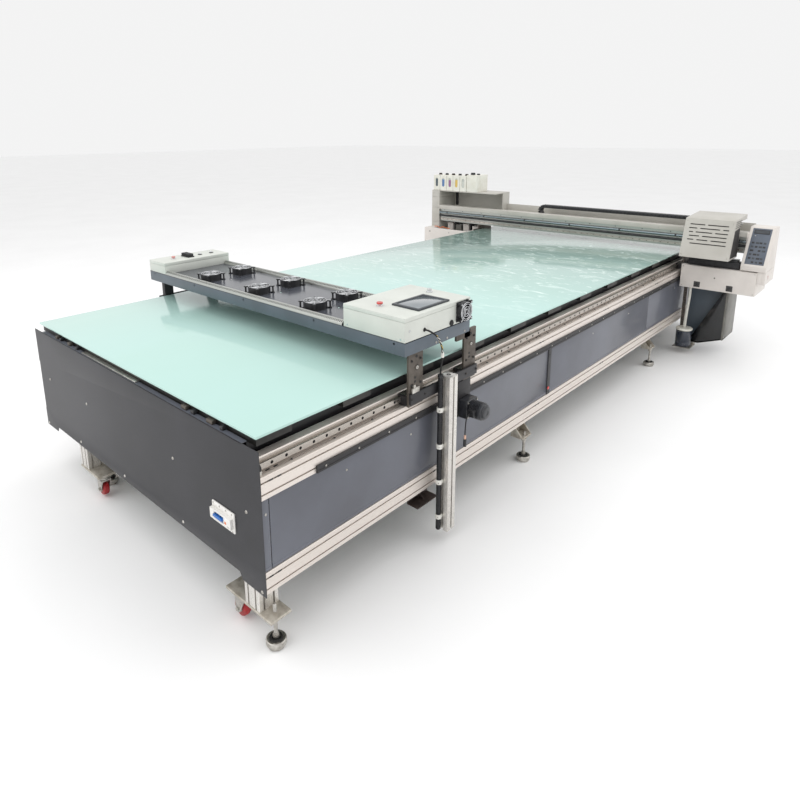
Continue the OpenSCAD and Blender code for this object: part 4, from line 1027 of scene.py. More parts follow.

# side plates; bolt heads and small holes, drawn as dark discs in painted shade, on the tall right hand pair
arms = {"y": (dy + 100, dy + 505), "half": 48, "low": 732, "thick": 12, "leftTop": 862}
bits = []
for y in arms["y"]:
    bits.append(box((plate, y - 48, 732.2), (plate + 12, y + 48, 982 - 0.2), 1.4, 0))
    bits.append(box((-plate - 12, y - 47.6, 732.2), (-plate, y + 47.6, 861), 1.4, 3))
    for z, k, r in ((955, 4, 7), (905, 8, 10.5), (860, -6, 6), (842, -6, 6)):
        bits.append(lathe([(0, 0.6), (r * 0.5, 0.6), (r * 0.55, 1.5), (r, 1.5), (r, 0), (0, 0)],
            (plate + 12, y + k, z), "X", 20, 2))
    bits.append(capScrew((plate + 12, y + 4, 905), "X", 8, 6, 1))
    for k, z in ((30, 830), (-30, 830), (30, 940), (-30, 940)):
        bits.append(capScrew((plate + 12, y + k, z), "X", 5.4, 4.5, 2))
bits.append(box((plate - 30, dy + 52, 972), (plate + 1, dy + 148, 982), 1.2, 2))
bits.append(box((plate, dyEnd - 70, 942), (plate + 12, dy + 505, 982), 1.2, 0))
for s in (1, -1):
    x0, x1 = sorted((s * (plate + 12), s * (plate + 24)))
    bits.append(box((x0, dy + 52.4, 745.4), (x1, dy + 552.6, 794.6), 1.6, 3))
bits.append(box((-plate - 12, dy + 52.4, 820), (-plate, dy + 552.6, 861.4), 1.2, 3))
for y in (dy + 100, dy + 400):
    bits.append(box((-plate - 1, y - 30, 850), (-1006, y + 30, 862), 1.4, 3))
    bits.append(box((dl, y - 30, 861), (-1006, y + 30, 981.8), 1.6, 3))
bits.append(box((plate, dy + 418, 556), (plate + 12, dy + 518, 733), 1.4, 3))
# limit switch with its bracket on the near block
bits.append(box((plate + 13, dy + 64, 795), (plate + 23.8, dy + 112, 820), 1.6, 1))
bits.append(lathe([(0, 0), (7, 0), (8, 1), (8, 9), (7, 10), (0, 10)], (plate + 13, dy + 80, 826), "X", 20, 1))
for y in (dy + 60, dy + 150, dy + 460, dy + 545):
    bits.append(capScrew((plate + 24, y, 770), "X", 5, 3.8, 2))
piece("dryerArms", bits, ["plateSteel", "zinc", "slotDark", "stripBlack"], "dryer_gantry", "zinc_steel",
    "dryer_legs")


def railBlock(y, long):
    # one piece bearing block wrapping the rail, with end seals and a grease nipple
    line = [(993.2, 731), (1044, 731), (1045.6, 732.6), (1045.6, 779.4), (1044, 781), (993.2, 781),
        (993.2, 768.3), (1010.2, 768.3), (1010.2, 743.7), (993.2, 743.7)]
    made = [prism(line, long - 12, (0, y - long / 2 + 6, 0), "Y", 0, 0)]
    seal = [(996, 733), (1042, 733), (1043, 734), (1043, 778), (1042, 779), (996, 779), (996, 768.6),
        (1010.4, 768.6), (1010.4, 743.4), (996, 743.4)]
    for y0 in (y - long / 2, y + long / 2 - 6):
        made.append(prism(seal, 6, (0, y0, 0), "Y", 0, 1))
    return made


bits = []
for y in arms["y"]:
    bits += railBlock(y, 90)
piece("dryerBlocks", both(bits), ["railSteel", "stripBlack"], "dryer_gantry", "rail_steel", "dryer_blocks")

# upright T slot profile with its cap, and the clips that hold the conduit to it
post = {"y": at["post"], "x": plate + 24, "low": 55, "tall": 770, "clips": (120, 300, 480, 660)}
outline = slotOutline(60, (30,), 9, 4, 20, 12)
bits = [prism([(post["x"] + u, post["y"] - 30 + v) for u, v in outline], post["tall"], (0, 0, post["low"]),
    "Z", 0, 0)]
bits.append(box((post["x"] + 0.4, post["y"] - 29.6, 825), (post["x"] + 59.6, post["y"] + 29.6, 829), 1.4, 0))
bits.append(lathe([(0, 0), (10, 0), (10, 0.8), (4, 1.2), (3.4, -0.6), (0, -0.6)],
    (post["x"] + 30, post["y"], 828.6), "Z", 20, 1))
cx, cy = plate + 42, post["y"] - 44
for z in post["clips"]:
    bits.append(lathe([(12.2, 0), (14.6, 0), (15.2, 0.8), (15.2, 21.2), (14.6, 22), (12.2, 22), (12.2, 0)],
        (cx, cy, z), "Z", 28, 2))
    bits.append(box((cx + 4, cy + 11.6, z + 3), (cx + 14.8, post["y"] - 30.2, z + 19), 1, 2))
    bits.append(capScrew((cx + 9, cy - 14.6, z + 11), "Y", 2.6, -1.2, 3))
piece("dryerPost", bits, ["profileZ", "slotDark", "wireWhite", "zinc"], "dryer_gantry", "post_aluminium",
    "dryer_post")

motor = {"y": dy + 468, "z": 601.8, "x": plate + 12, "fins": 6}
my, mz, mx = motor["y"], motor["z"], motor["x"]
bits = [box((mx + 0.2, my - 45, mz - 45), (plate + 60, my + 45, mz + 45), 5, 0, 3)]
body = [(0, 0), (39, 0), (40, 1.5), (40, 5)]
for k in range(motor["fins"]):
    body += [(40, 5.5 + k * 10), (43.6, 6.4 + k * 10), (43.6, 9.4 + k * 10), (40, 10.4 + k * 10)]
body += [(40, 68), (37.5, 72), (33, 72.4), (32, 74), (31.4, 80), (28, 82), (12, 82), (11, 80), (0, 80)]
bits.append(lathe(body, (plate + 60, my, mz), "X", 44, 0))
for k in range(8):
    a = math.tau * k / 8
    bits.append(box((plate + 139, my + 21 * math.cos(a) - 2.4, mz + 21 * math.sin(a) - 2.4),
                    (plate + 141.8, my + 21 * math.cos(a) + 2.4, mz + 21 * math.sin(a) + 2.4), 0.5, 1))
bits.append(box((plate + 70, my - 61.6, mz - 16), (plate + 108, my - 38, mz + 16), 2.5, 1, 3))
for dyy, dz in ((-36, -36), (36, -36), (-36, 36), (36, 36)):
    bits.append(capScrew((plate + 60, my + dyy, mz + dz), "X", 5, 4, 2))
piece("dryerMotor", bits, ["motorCoat", "blackPlastic", "zinc"], "dryer_gantry", "motor_black", "dryer_motor")
bits = [lathe([(0, 0), (8, 0), (8, 0.6), (36, 0.6), (39, 1), (39.8, 2), (39.8, 7.4), (38.6, 8.6), (14, 8.8),
    (13, 10), (8, 10), (8, 28), (0, 28)], (side + 1, my, mz), "X", 48, 0)]
# six small holes drawn as thin dark discs: painted shade
for k in range(6):
    a = math.tau * k / 6
    bits.append(lathe([(0, 0.1), (3.6, 0.1), (3.6, 0.6), (0, 0.6)],
        (side + 9.5, my + 26 * math.cos(a), mz + 26 * math.sin(a)), "X", 14, 1))
piece("driveWheel", bits, ["zinc", "slotDark"], "drive_roller", "zinc_steel", "drive_wheel")

rings = [(0, 0), (9.4, 0), (10, 1)]
for k in range(101):
    z = 4 + k * 7.5
    rings += [(9.8, z), (11.9, z + 1.4), (11.9, z + 4.0), (9.8, z + 5.4)]
rings += [(10, 763), (12.6, 764), (13, 766), (13, 776), (12, 777.6), (6, 778), (5, 776), (0, 776)]
piece("conduit", [lathe(rings, (cx, cy, 62), "Z", 20, 0)], ["blackPlastic"], "dryer_gantry", "black_plastic",
    "conduit")
print("dryer gantry done")

# print gantry
py = at["beam"]

# hollow beam with the two slots along its near face; lid, tubes and rail stand in front of it
bits = [prism([(py, 908.4), (py + 149.6, 908.4), (py + 149.6, 1039.8), (py, 1039.8), (py, 1018),
    (py + 6, 1018), (py + 6, 1010),
               (py, 1010), (py, 996), (py + 6, 996), (py + 6, 988), (py, 988)], 3040.4, (-1560.7, 0, 0), "X",
               0, 0)]
for x in range(-1500, 1450, 240):
    bits.append(capScrew((x, py, 1029), "Y", 4, -3, 1))
piece("printBeam", bits, ["beamSteel", "slotDark"], "print_gantry", "aluminium", "print_beam")

bits = [box((-1561, py - 24, 1040.2), (1480, py + 56, 1082), 3, 0, 3),
    box((-853, py + 150, 1030.2), (1480, py + 240, 1034), 0.8),
        box((-853, py + 236, 1033), (1480, py + 240, 1124), 1)]
for x in range(-1480, 1450, 366):
    bits.append(lathe([(0, 1.0), (2, 1.0), (2.6, 2), (4.4, 1.4), (5, 0), (0, 0)], (x, py + 16, 1081.6), "Z",
        14, 1))
    bits.append(lathe([(0, -1.0), (2, -1.0), (2.6, -2), (4.4, -1.4), (5, 0), (0, 0)],
        (x + 90, py - 23.6, 1060), "Y", 14, 1))
piece("beamCover", bits, ["coverCoat", "zinc"], "print_gantry", "box_white", "beam_cover")

holes = [30 + i * 60 for i in range(50)]
bits = [box((-1540, py - 14.2, 925.2), (1460, py, 940.8), 0.8, 0),
        holedStrip((-1540, py - 14.9, 933), (1, 0, 0), (0, 0, 1), (0, -1, 0), 3000, 15.4, holes, 4.4, 0.6, 0,
        1)]
for h in holes:
    bits.append(capScrew((-1540 + h, py - 14.4, 933), "Y", 3.2, -0.8, 1))
piece("beamRail", bits, ["railSteel", "slotDark"], "print_gantry", "rail_steel", "beam_rail")

bits = [rod((-1560.5, py - 12, 968), "X", 9.8, 3040, 0, 0.8, 24),
    rod((-1560.5, py - 13, 1002), "X", 10.8, 3040, 1, 0.8, 24)]
for x in range(-1460, 1480, 480):
    for z, r in ((968, 10), (1002, 11)):
        bits.append(lathe([(r - 0.5, 0), (r + 0.8, 0), (r + 0.8, 14), (r - 0.5, 14), (r - 0.5, 0)],
            (x, py - 12, z), "X", 24, 2))
piece("beamTubes", bits, ["blackPlastic", "tubeSteel", "stripBlack"], "print_gantry", "hose_dark",
    "beam_tubes")

# ink side: tall cabinet, its seams, and the shelf that runs over the beam
cabinet = {"x": (-1665, -1561), "low": 760, "high": 1246, "seams": (890, 1052, 1168)}
cuts = [cabinet["low"]] + list(cabinet["seams"]) + [cabinet["high"]]
bits = []
for z0, z1 in zip(cuts, cuts[1:]):
    bits.append(box((-1665, py - 20, z0 + 0.8), (-1561, py + 280, z1 - 0.8), 2, 0, 3))
bits.append(box((-1660, py - 15, 762), (-1566, py + 275, 1244), 0, 0))
bits.append(box((-1562, py - 10, 1236), (-853, py + 280, 1246), 1.6, 0, 3))
bits.append(box((-863, py + 152, 1034), (-853, py + 280, 1237), 1.2, 0))
bits.append(box((-1561, py + 270, 1034), (-860, py + 280, 1237), 1.2, 0))
bits.append(box((-1540, py + 262, 1060), (-1506, py + 271, 1228), 2, 2))
for x in (-1490, -1180, -890):
    bits.append(lathe([(0, 0), (4.4, 0), (4, 1.6), (2, 1.8), (1.8, 1), (0, 1)], (x, py + 20, 1246), "Z", 14,
        3))
for z in (800, 940, 1210):
    bits.append(lathe([(0, -1), (2, -1), (2.6, -2), (4.4, -1.4), (5, 0), (0, 0)], (-1640, py - 20, z), "Y",
        14, 3))
piece("inkTower", bits, ["coverCoat", "pillarGrey", "stripBlack", "zinc"], "print_gantry", "box_white",
    "ink_tower")

inks = (("Black", "#31444E", 1372), ("Cyan", "#3E6FA8", 1366), ("Magenta", "#8B4E86", 1362),
    ("Yellow", "#D6B24A", 1368),
        ("Clear", "#C9CCC4", 1350))
for word, colour, level in inks:
    mats["sight" + word] = sightGlass("Sight_Window_" + word, colour, "#B9BDB6", level)
tanks = {"first": -1652, "pitch": 88, "wide": 86, "y": (py - 10, py + 190), "z": (1246, 1412)}
bits = []
for i in range(5):
    x = tanks["first"] + i * tanks["pitch"]
    c = x + 43
    # tank front is a ring of faces round an oval window
    oval = [(c + 17 * math.cos(t), 1366 + 17 * math.sin(t)) for t in [math.pi * k / 8 for k in range(9)]] \
        + [(c + 17 * math.cos(t), 1302 + 17 * math.sin(t)) for t in [math.pi + math.pi * k / 8 for k in range(9)]]
    bits.append(box((x + 0.4, py - 5.2, 1246.4), (x + 85.6, py + 190, 1412), 3, 5, 3))
    rim = bmesh.new()
    outer = []
    for u, v in oval:
        a = math.atan2(v - 1334, u - c)
        s = 1 / max(abs(math.cos(a)) / 42, abs(math.sin(a)) / 82)
        outer.append((c + math.cos(a) * s, 1329 + math.sin(a) * s))
    front = [rim.verts.new((u, py - 9.8, v)) for u, v in outer]
    edge = [rim.verts.new((u, py - 9.8, v)) for u, v in oval]
    back = [rim.verts.new((u, py - 5.4, v)) for u, v in oval]
    skirt = [rim.verts.new((u, py - 5.4, v)) for u, v in outer]
    n = len(oval)
    for k in range(n):
        m = (k + 1) % n
        rim.faces.new((front[k], edge[k], edge[m], front[m]))
        rim.faces.new((edge[k], back[k], back[m], edge[m]))
        rim.faces.new((skirt[k], front[k], front[m], skirt[m]))
    flatOnly(rim, [])
    bits.append(setMat(rim, 5))
    bits.append(prism([(c + (u - c) * 0.98, 1334 + (v - 1334) * 0.99) for u, v in oval], 1.6,
        (0, py - 7.4, 0), "Y", 0.6, i))
    bits.append(lathe([(0, 0), (20, 0), (20, 3), (18, 4), (17.4, 15), (16, 18), (8, 18), (7, 17), (0, 17)],
                      (c, py + 60, 1412), "Z", 24, 6 if i % 2 else 7))
bits.append(box((-1210, py - 10, 1246.4), (-1075, py + 190, 1425), 4, 5, 3))
bits.append(lathe([(0, 0), (26, 0), (26, 3), (24, 4), (24, 19), (22, 22), (0, 22)], (-1170, py + 50, 1425),
    "Z", 28, 6))
bits.append(lathe([(0, 0), (18, 0), (18, 2), (16, 3), (16, 12), (14, 14), (0, 14)], (-1115, py + 70, 1425),
    "Z", 28, 6))
piece("inkTanks", bits, ["sight" + w for w, _, _ in inks] + ["tankWhite", "blackPlastic", "castDark"],
    "print_gantry", "tank_white", "ink_tanks")

# end housings outboard of the table, with vents, casting, pillar and the bottle's tray
base = {"x": (plate + 12, 1610), "y": (py - 150, py + 200), "z": (600, 790)}
(x0, x1), (y0, y1), (z0, z1) = base["x"], base["y"], base["z"]
bits = [box((x0, y0, z0), (x1, y1, z1 - 0.2), 4, 0, 3), box((1480, py - 110, 789), (1610, py + 200, 800), 1.2,
    0), box((1480, py - 30, 799), (1490, py + 150, 1082), 1, 0),
        box((x0 + 2, py - 100, z1 - 2), (1470, py + 10, z1 + 3), 1.2, 2)]
for x in (1190, 1430):
    bits.append(box((x - 24, y0 - 0.4, 612), (x + 24, y0 + 3, 660), 1.5, 2))
    bits.append(ringOfWire(19, 1.5, 0, (x, y0 + 0.6, 636), "Y", 4, 28))
    bits.append(ringOfWire(10, 1.2, 0, (x, y0 + 0.6, 636), "Y", 4, 24))
    bits.append(rod((x, y0 + 0.9, 636), "Y", 6, -1.2, 4, 0.3, 16))
bits.append(rod((1316, y0 + 0.8, 706), "Y", 5.5, -1.4, 2, 0.3, 18))
for x, z in ((1075, 776), (1595, 776), (1075, 614), (1595, 614)):
    bits.append(lathe([(0, -0.6), (2, -0.6), (2.6, -1.6), (4.4, -1.2), (5, 0), (0, 0)], (x, y0 + 0.2, z), "Y",
        14, 3))
# left housing with the recess for the cleaning station
lx0, lx1 = -1665, -plate - 12
bits += [box((lx0, py - 150, 600), (lx1, py - 120, 840), 2.4, 0, 3),
    box((-1120, py - 121, 759), (lx1, py - 20, 840), 2, 0),
         box((lx0, py - 121, 759), (-1560, py - 20, 840), 2, 0),
         box((lx0, py - 20, 600), (lx1, py + 280, 760), 2.4, 0, 3),
         box((lx0, py - 121, 600), (-1560, py - 19, 760), 2, 0),
         box((-1120, py - 121, 600), (lx1, py - 19, 760), 2, 0),
         box((-1561, py - 121, 600), (-1119, py - 19, 640), 1, 2),
         rod((-1590, py - 149.6, 800), "Y", 7, -1.2, 2, 0.3, 18),
         rod((-1330, py - 149.6, 806), "Y", 5, -1.2, 2, 0.3, 18)]
for x in (-1500, -1400, -1300):
    bits.append(box((x, py - 100, 640), (x + 60, py - 40, 826 - (x + 1500) * 0.12), 3, 0 if x != -1400 else 4,
        3))
    bits.append(box((x + 70, py - 90, 640), (x + 92, py - 30, 812), 1.5, 2))
bits += [box((-1556, py + 200, 760), (lx1, py + 206, 904), 1, 2),
    box((-1556, py + 20, 760), (lx1, py + 200, 772), 1, 2)]
for k, x in enumerate((-1500, -1390, -1290, -1170)):
    bits.append(box((x, py + 60, 771), (x + 74, py + 130, 884 - 14 * (k % 2)), 3, 0 if k != 1 else 4, 3))
    bits.append(box((x + 84, py + 70, 771), (x + 96, py + 150, 896), 1.5, 2))
orange = [(-1585 + 40 * k, py - 70 + 14 * math.sin(k * 1.7),
    842 + 10 * math.sin(k * 2.3 + 0.6)) for k in range(6)]
bits.append(sweep(curveThrough(orange, 5), 4, 9, 8))
for s in (1, -1):
    for a, b, c0, c1, d0, d1 in ((plate, plate + 12, py - 85, py + 1, 732, 864),
            (plate, plate + 12, py, py + 245, 732, 908), (plate - 30, plate + 1, py, py + 150, 896, 908)):
        xa, xb = sorted((s * a, s * b))
        bits.append(box((xa, c0, d0 + 0.2), (xb, c1, d1 - 0.2), 1.2, 5))
# stand: slate back wall, black floor and slanted rib, grey outer side
foot = [(1060, 80), (1200, 80), (1390, 150)]
bits.append(prism(foot + [(1390, 600), (1060, 600)], 12, (0, py + 110, 0), "Y", 0.8, 8))
bits.append(prism(foot + [(1390, 162), (1198, 92), (1060, 92)], 90, (0, py + 30, 0), "Y", 0.8, 6))
bits.append(prism([(1120, 80), (1200, 80), (1390, 150), (1390, 600), (1372, 600)], 12, (0, py + 30, 0), "Y",
    0.8, 6))
bits.append(box((1378, py + 20, 146), (1390, py + 340, 600), 1.5, 7))
bits.append(box((1389, py + 60, 180), (1391.4, py + 300, 560), 0.8, 7))
for y, z in ((py + 40, 170), (py + 320, 170), (py + 40, 560), (py + 320, 560)):
    bits.append(capScrew((1390, y, z), "X", 6, 4, 3))
# black parking tray with its wiper and two caps under the carriage
bits.append(box((1100, py - 120, 789), (1476, py - 30, 846), 3, 2, 3))
for x in (1130, 1250, 1370):
    bits.append(box((x, py - 112, 845), (x + 90, py - 42, 866), 3, 6, 3))
bits.append(box((1040, py - 115, 54), (1180, py + 36, 60), 1.4, 3))
bits.append(box((1060, py + 30, 56), (1180, py + 36, 91), 1, 3))
# perforated strip beside the bottle
bits.append(holedStrip((1061, py + 30.2, 96), (0, 0, 1), (1, 0, 0), (0, -1, 0), 500, 30,
    [14 + 22 * k for k in range(22)], 4.5, 0.6, 5, 2))
# the housings and console take the lighter white, painted light
piece("printBase", bits, ["baseCoatLit", "coverCoat", "blackPlastic", "zinc", "pillarGrey", "plateSteel",
    "gussetBlack", "pillarGrey", "channelCoat", "testOrange"], "print_gantry", "box_white", "print_base")

console = {"x": (1490, 1665), "keys": (4, 8)}
cx0, cx1 = console["x"]
bits = [prism([(py - 160, 800.4), (py - 160, 840), (py + 20, 1128), (py + 150, 1128), (py + 150, 800.4)],
    cx1 - cx0 - 0.4, (cx0 + 0.2, 0, 0), "X", 3.5, 0, 3),
        box((1610.4, py - 150, 700), (1640.4, py + 150, 800), 2, 0, 3),
        box((1640, py - 34, 700), (1665, py + 150, 800), 1.6, 0),
        box((1640, py - 150, 700), (1665, py - 60, 800), 1.6, 0),
        box((1640, py - 61, 700), (1665, py - 33, 735), 0.8, 0),
        box((1640, py - 61, 761), (1665, py - 33, 800), 0.8, 0)]
# keypad film on the slope: display bar above, rows of keys below
slope = math.atan2(288, 180)
place = Matrix.Translation((cx0, py - 160, 840)) @ Matrix.Rotation(slope, 4, "X")
long = math.hypot(288, 180)


def onSlope(u0, u1, v0, v1, h0, h1, bevel, mi):
    bm = box((u0, v0, h0), (u1, v1, h1), bevel, mi)
    bmesh.ops.transform(bm, matrix=place, verts=bm.verts)
    return bm


bits.append(onSlope(22, 153, 16, long - 14, -1, 1.4, 0.6, 1))
bits.append(onSlope(34, 141, long - 62, long - 26, 1, 3.4, 1, 2))
bits.append(onSlope(40, 135, long - 56, long - 32, 3, 3.8, 0.3, 4))
for r in range(6):
    for c in range(4):
        if (r * 3 + c * 5) % 7 == 0:
            continue
        wide = 18 if (r + c) % 3 else 24
        u, v = 36 + c * 27, 28 + r * 33
        bits.append(onSlope(u, u + wide, v, v + 15, 1, 3.0, 0.8, 2 if (r + c) % 2 else 4))
bits.append(rod((1640.2, py + 60, 770), "X", 4, 24.8, 2, 0.4, 14))
piece("console", bits, ["baseCoatLit", "keypad", "blackPlastic", "screenGlass", "screenFrame"], "print_gantry",
    "console_grey", "console")
bits = [rod((1652, py - 59.4, 748), "Y", 9.6, 24.8, 0, 1, 24),
    box((1645, py - 55, 748), (1664, py - 39, 757), 1.6, 0, 3)]
piece("consoleRocker", bits, ["lampRed"], "rocker", "button_red", "console_switch")

bits = []
for y in (py - 40, py + 200):
    bits += railBlock(y, 90)
piece("printBlocks", both(bits), ["railSteel", "stripBlack"], "print_gantry", "rail_steel", "print_blocks")

bottle = {"x": 1105, "y": py - 45}
bits = [lathe([(0, 60), (54, 60), (60, 63), (62, 68), (62, 96), (61, 98), (61, 102), (62, 104), (62, 188),
    (60, 196), (54, 200.4), (0, 200.4)], (bottle["x"], bottle["y"], 0), "Z", 48, 0),
        lathe([(0, 200), (56, 200), (56, 205.2), (0, 205.2)], (bottle["x"], bottle["y"], 0), "Z", 40, 1),
        lathe([(0, 205), (63, 205), (65, 207), (65, 216), (62, 220), (50, 221.6), (20, 222), (15, 221),
        (0, 221)], (bottle["x"], bottle["y"], 0), "Z", 48, 1)]
for k in range(40):
    a = math.tau * k / 40
    bits.append(rod((bottle["x"] + 64.2 * math.cos(a), bottle["y"] + 64.2 * math.sin(a), 207), "Z", 1.2, 8.6,
        1, 0.3, 6))
piece("wasteBottle", bits, ["bottleBlue", "tankWhite"], "print_gantry", "bottle_dark", "waste_bottle")

# cable chain: short links along each run and round the half turn
chain = {"x": -340, "z": 1100.5, "r": 44.5, "half": 15, "link": 34, "y": (py + 80, py + 140), "low": 150, "high": 1110}


def link(x, z, turn, long):
    h, (ya, yb) = chain["half"], chain["y"]
    made = [box((-long / 2, ya, -h), (long / 2, ya + 7, h), 2.6, 0),
        box((-long / 2, yb - 7, -h), (long / 2, yb, h), 2.6, 0),
            box((-long * 0.36, ya + 3, -h + 0.4), (long * 0.36, yb - 3, 4 - h), 1, 0),
            box((-long * 0.36, ya + 3, h - 4), (long * 0.36, yb - 3, h - 0.4), 1, 0),
            rod((long * 0.34, ya, 0), "Y", 6, 2, 1, 0.4, 10)]
    where = Matrix.Translation((x, 0, z)) @ Matrix.Rotation(turn, 4, "Y")
    for part in made:
        bmesh.ops.transform(part, matrix=where, verts=part.verts)
    return made


def chainRun(name, links):
    obj = piece(name, [bm for group in links for bm in group], ["blackPlastic", "slotDark"], None,
        "black_plastic", *(
        ["drag_chain"] if name == "chainUpper" else []))
    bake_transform(obj)
    return obj


cxx, cz, cr = chain["x"], chain["z"], chain["r"]
n = round((chain["high"] - cxx) / chain["link"])
step = (chain["high"] - cxx) / n
upper = [link(cxx + (i + 0.5) * step, cz + cr, 0,
    step * 1.12 if 0 < i < n - 1 else step * 0.98) for i in range(n)]
n = round((chain["low"] - cxx) / chain["link"])
step = (chain["low"] - cxx) / n
lower = [link(cxx + (i + 0.5) * step, cz - cr, 0,
    step * 1.12 if 0 < i < n - 1 else step * 0.98) for i in range(n)]
turns = []
for k in range(4):
    a = math.radians(90 + 22.5 + 45 * k)
    turns.append(link(cxx + cr * math.cos(a), cz + cr * math.sin(a), -(a - math.pi / 2), 34))
chainRun("chainUpper", upper)
chainRun("chainLower", lower)
chainRun("chainTurn", turns)

# carriage: back plate on the rail, the arm to the chain, heads and the slotted cover
cov = {"x": 1070, "wide": 360, "z": 880, "fold": 1184, "front": py - 290}
cX0, cX1 = cov["x"], cov["x"] + cov["wide"]
bits = [box((cX0 + 20, py - 37, 890), (cX1 - 20, py - 25, 1120), 1.4, 0),
    box((cX0 + 20, py - 37, 1122), (cX1 - 20, py + 140, 1130), 1, 0)]
for x in (cX0 + 50, cX0 + 240):
    bits.append(prism([(py - 25, 916), (py - 4, 916), (py - 4, 924.6), (py - 15.1, 924.6), (py - 15.1, 941.4),
        (py - 4, 941.4), (py - 4, 950), (py - 25, 950)], 70, (x, 0, 0), "X", 0, 1))
for x in (cX0 + 60, cX0 + 300):
    for z in (910, 1090):
        bits.append(capScrew((x, py - 37, z), "Y", 5, -4, 2))
piece("carriagePlate", bits, ["beamSteel", "railSteel", "zinc"], "carriage", "aluminium", "carriage_plate")

bits = [box((cX0 + 20, py - 270, 900), (cX1 - 20, py - 37, 908), 1, 0)]
for i in range(4):
    bits.append(box((cX0 + 50 + i * 64, py - 230, 884), (cX0 + 90 + i * 64, py - 70, 1000), 2, 1))
for xa in (cX0 + 24, cX1 - 42):
    bits.append(box((xa, py - 230, 886), (xa + 18, py - 70, 990), 2, 0))
piece("printHeads", bits, ["stripBlack", "blackPlastic"], "carriage", "black_plastic", "print_heads")

vents = {"rows": 6, "first": 52, "pitch": 31, "high": 9,
         "cuts": (((40, 150), (170, 320)), ((36, 96), (118, 262), (284, 326)),
         ((40, 70), (90, 210), (232, 322)), ((44, 120), (142, 318)),
                  ((36, 84), (106, 186), (210, 320)), ((60, 322),))}


def ventedFace():
    # slanted front: a grid of cells with some set back and given depth, their backs painted dark as painted shade
    y0, z0, y1, z1 = cov["front"], cov["z"], cov["front"] + 90, cov["fold"]
    tall = math.hypot(y1 - y0, z1 - z0)
    us = sorted({0, cov["wide"]} | {float(v) for row in vents["cuts"] for pair in row for v in pair})
    vs = [0.0]
    for r in range(vents["rows"]):
        v = tall - vents["first"] - r * vents["pitch"]
        vs += [v, v + vents["high"]]
    vs = sorted(vs + [tall])
    bm = bmesh.new()

    cutDepth = 9.0  # how far the dark slots lie behind the face

    def where(u, v, inset=0.0):
        t = v / tall
        return (cov["x"] + u, y0 + (y1 - y0) * t + inset, z0 + (z1 - z0) * t)

    for v0, v1 in zip(vs, vs[1:]):
        row = None
        for r in range(vents["rows"]):
            if abs(v0 - (tall - vents["first"] - r * vents["pitch"])) < 0.01:
                row = vents["cuts"][r]
        for u0, u1 in zip(us, us[1:]):
            gap = row and any(a <= u0 and u1 <= b for a, b in row)
            corners = ((u0, v0), (u1, v0), (u1, v1), (u0, v1))
            inset = cutDepth if gap else 0.0
            face = bm.faces.new([bm.verts.new(where(u, v, inset)) for u, v in corners])
            # set-back cells take the dark material: painted shade in the vents
            face.material_index = 2 if gap else 0
        if row:
            for a, b in row:
                ring = ((a, v0), (b, v0), (b, v1), (a, v1))
                for (ua, va), (ub, vb) in zip(ring, ring[1:] + ring[:1]):
                    wall = [bm.verts.new(where(ua, va)), bm.verts.new(where(ub, vb)),
                            bm.verts.new(where(ub, vb, cutDepth)), bm.verts.new(where(ua, va, cutDepth))]
                    bm.faces.new(wall).material_index = 0
    flatOnly(bm, [])
    bmesh.ops.remove_doubles(bm, verts=bm.verts, dist=0.01)
    return bm


y0, fold, back = cov["front"], cov["fold"], py + 146
bits = [ventedFace()]
for xa in (cX0, cX1 - 3):
    bits.append(prism([(y0 + 0.4, cov["z"]), (y0 + 90.4, fold), (back, 1205.8), (back, 1166), (py - 37, 1166),
        (py - 37, cov["z"])], 3, (xa, 0, 0), "X", 0.5, 0))
bits.append(prism([(y0 + 90, fold - 3), (y0 + 90, fold), (back, 1206), (back, 1202)], cov["wide"] - 0.6,
    (cX0 + 0.3, 0, 0), "X", 0.6, 0))
bits.append(prism([(y0 + 3, cov["z"]), (y0 + 0.2, cov["z"]), (y0 + 90, fold - 0.4), (y0 + 93, fold - 3)], 4,
    (cX0, 0, 0), "X", 0, 0))
bits.append(box((cX0 + 2, py - 41, 1131), (cX1 - 2, py - 37, 1187), 0.6, 0))
bits.append(box((cX0 + 2, py - 38, 1166), (cX1 - 2, back, 1169), 0.6, 0))
bits.append(box((cX0 + 2, back - 3, 1166), (cX1 - 2, back, 1204), 0.6, 0))
# the flank below the mesh is open; a thin dark sheet across it is painted shade for its dark inside
bits.append(prism([(y0 + 34, 892), (y0 + 100, 1104), (py - 44, 1118), (py - 44, 892)], 0.8, (cX1 - 0.2, 0, 0),
    "X", 0, 2))
# diamond mesh let into the upper part of the side, its openings drawn as thin dark diamonds in painted shade
for k in range(9):
    for r in range(4):
        u, v = y0 + 116 + k * 19 + (9 if r % 2 else 0), 1126 + r * 15
        for xa, h in ((cX1, 0.5), (cX0, -0.5)):
            bits.append(prism([(u - 6.4, v), (u, v - 6.4), (u + 6.4, v), (u, v + 6.4)], h, (xa, 0, 0), "X", 0,
                2))
for u, z in ((y0 + 34, 906), (py - 60, 906), (py - 60, 1150), (y0 + 112, 1160)):
    bits.append(lathe([(0, 0), (4.2, 0), (4, 1.2), (2, 1.4), (1.8, 0.6), (0, 0.6)], (cX1, u, z), "X", 14, 1))
for x in (cX0 + 14, cX1 - 14):
    for t in (0.06, 0.93):
        bits.append(lathe([(0, -1), (2, -1), (2.6, -1.6), (4, -1.2), (4.4, 0.6), (0, 0.6)],
                          (x, y0 + 90 * t, cov["z"] + (fold - cov["z"]) * t), "Y", 12, 1))
piece("carriageCover", bits, ["coverCoat", "zinc", "slotDark"], "carriage", "box_white", "carriage_cover")
print("print gantry done")

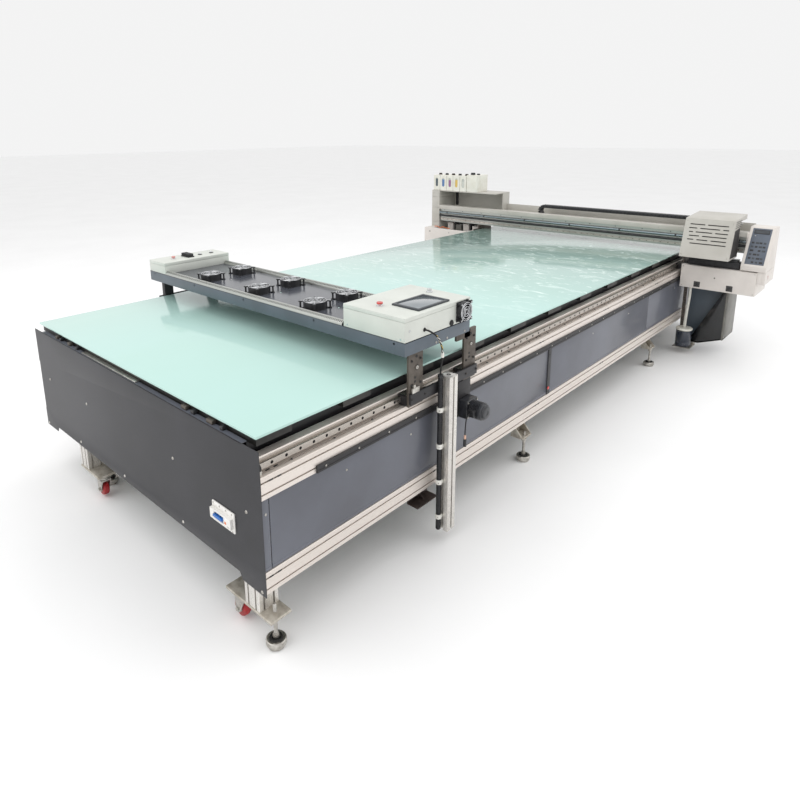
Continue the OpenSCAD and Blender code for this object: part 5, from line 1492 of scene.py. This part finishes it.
# studio: pale floor that fades into the light, three soft lamps, camera a little above the operator
floor = bpy.data.meshes.new("studioFloor")
fb = bmesh.new()
bmesh.ops.create_grid(fb, x_segments=1, y_segments=1, size=60)
fb.to_mesh(floor)
fb.free()
floorObj = bpy.data.objects.new("studioFloor", floor)
bpy.context.scene.collection.objects.link(floorObj)
floor.materials.append(finish("Studio_Floor_Paper", "#FBFBFB", "#F8F8F8", 900, (0.7, 0.8), 12, 0.05))
floorObj.location.z = -0.0005

studio = {
    "world": ("#FFFFFF", 0.9),
    "lamps": (
        # key from above and behind the camera's left, fill over the far half, side strip
        ("lampKey", (-1.5, -5.5, 6.0), (0.0, -0.6, 0.6), 7.0, 170.0),
        ("lampFill", (4.5, 2.5, 5.0), (0.4, 0.6, 0.7), 6.0, 80.0),
        ("lampTop", (0.0, 0.5, 7.5), (0.0, 0.5, 0.8), 8.0, 90.0),
    ),
    "exposure": 0.0,
}
world = bpy.data.worlds.new("studioWorld")
world.use_nodes = True
background = world.node_tree.nodes["Background"]
background.inputs["Color"].default_value = srgb(studio["world"][0])
background.inputs["Strength"].default_value = studio["world"][1]
bpy.context.scene.world = world
for name, spot, aim, size, watts in studio["lamps"]:
    data = bpy.data.lights.new(name, "AREA")
    data.shape, data.size, data.energy = "SQUARE", size, watts
    lamp = bpy.data.objects.new(name, data)
    lamp.location = spot
    lamp.rotation_euler = (Vector(aim) - Vector(spot)).to_track_quat("-Z", "Y").to_euler()
    bpy.context.scene.collection.objects.link(lamp)
bpy.context.scene.view_settings.view_transform = "Standard"
bpy.context.scene.view_settings.exposure = studio["exposure"]

# camera: stands off the near right corner at standing eye height, looking along the bed
view = {"at": (2.6244, -3.7528, 1.8872), "turn": 43.213, "down": 13.494, "roll": -0.58, "lens": 27.80,
        "shift": (0.0346, -0.1502)}
az, pitch, roll = (math.radians(view[k]) for k in ("turn", "down", "roll"))
ahead = Vector((-math.sin(az) * math.cos(pitch), math.cos(az) * math.cos(pitch), -math.sin(pitch)))
right = Vector((math.cos(az), math.sin(az), 0))
up = right.cross(ahead)
right, up = math.cos(roll) * right + math.sin(roll) * up, -math.sin(roll) * right + math.cos(roll) * up
camData = bpy.data.cameras.new("viewCamera")
camData.lens, camData.sensor_width = view["lens"], 36
camData.shift_x, camData.shift_y = view["shift"]
camData.clip_end = 200
cam = bpy.data.objects.new("viewCamera", camData)
cam.matrix_world = Matrix((( right.x, up.x, -ahead.x, view["at"][0]),
    (right.y, up.y, -ahead.y, view["at"][1]), (right.z, up.z, -ahead.z, view["at"][2]), (0, 0, 0, 1)))
bpy.context.scene.collection.objects.link(cam)
bpy.context.scene.camera = cam
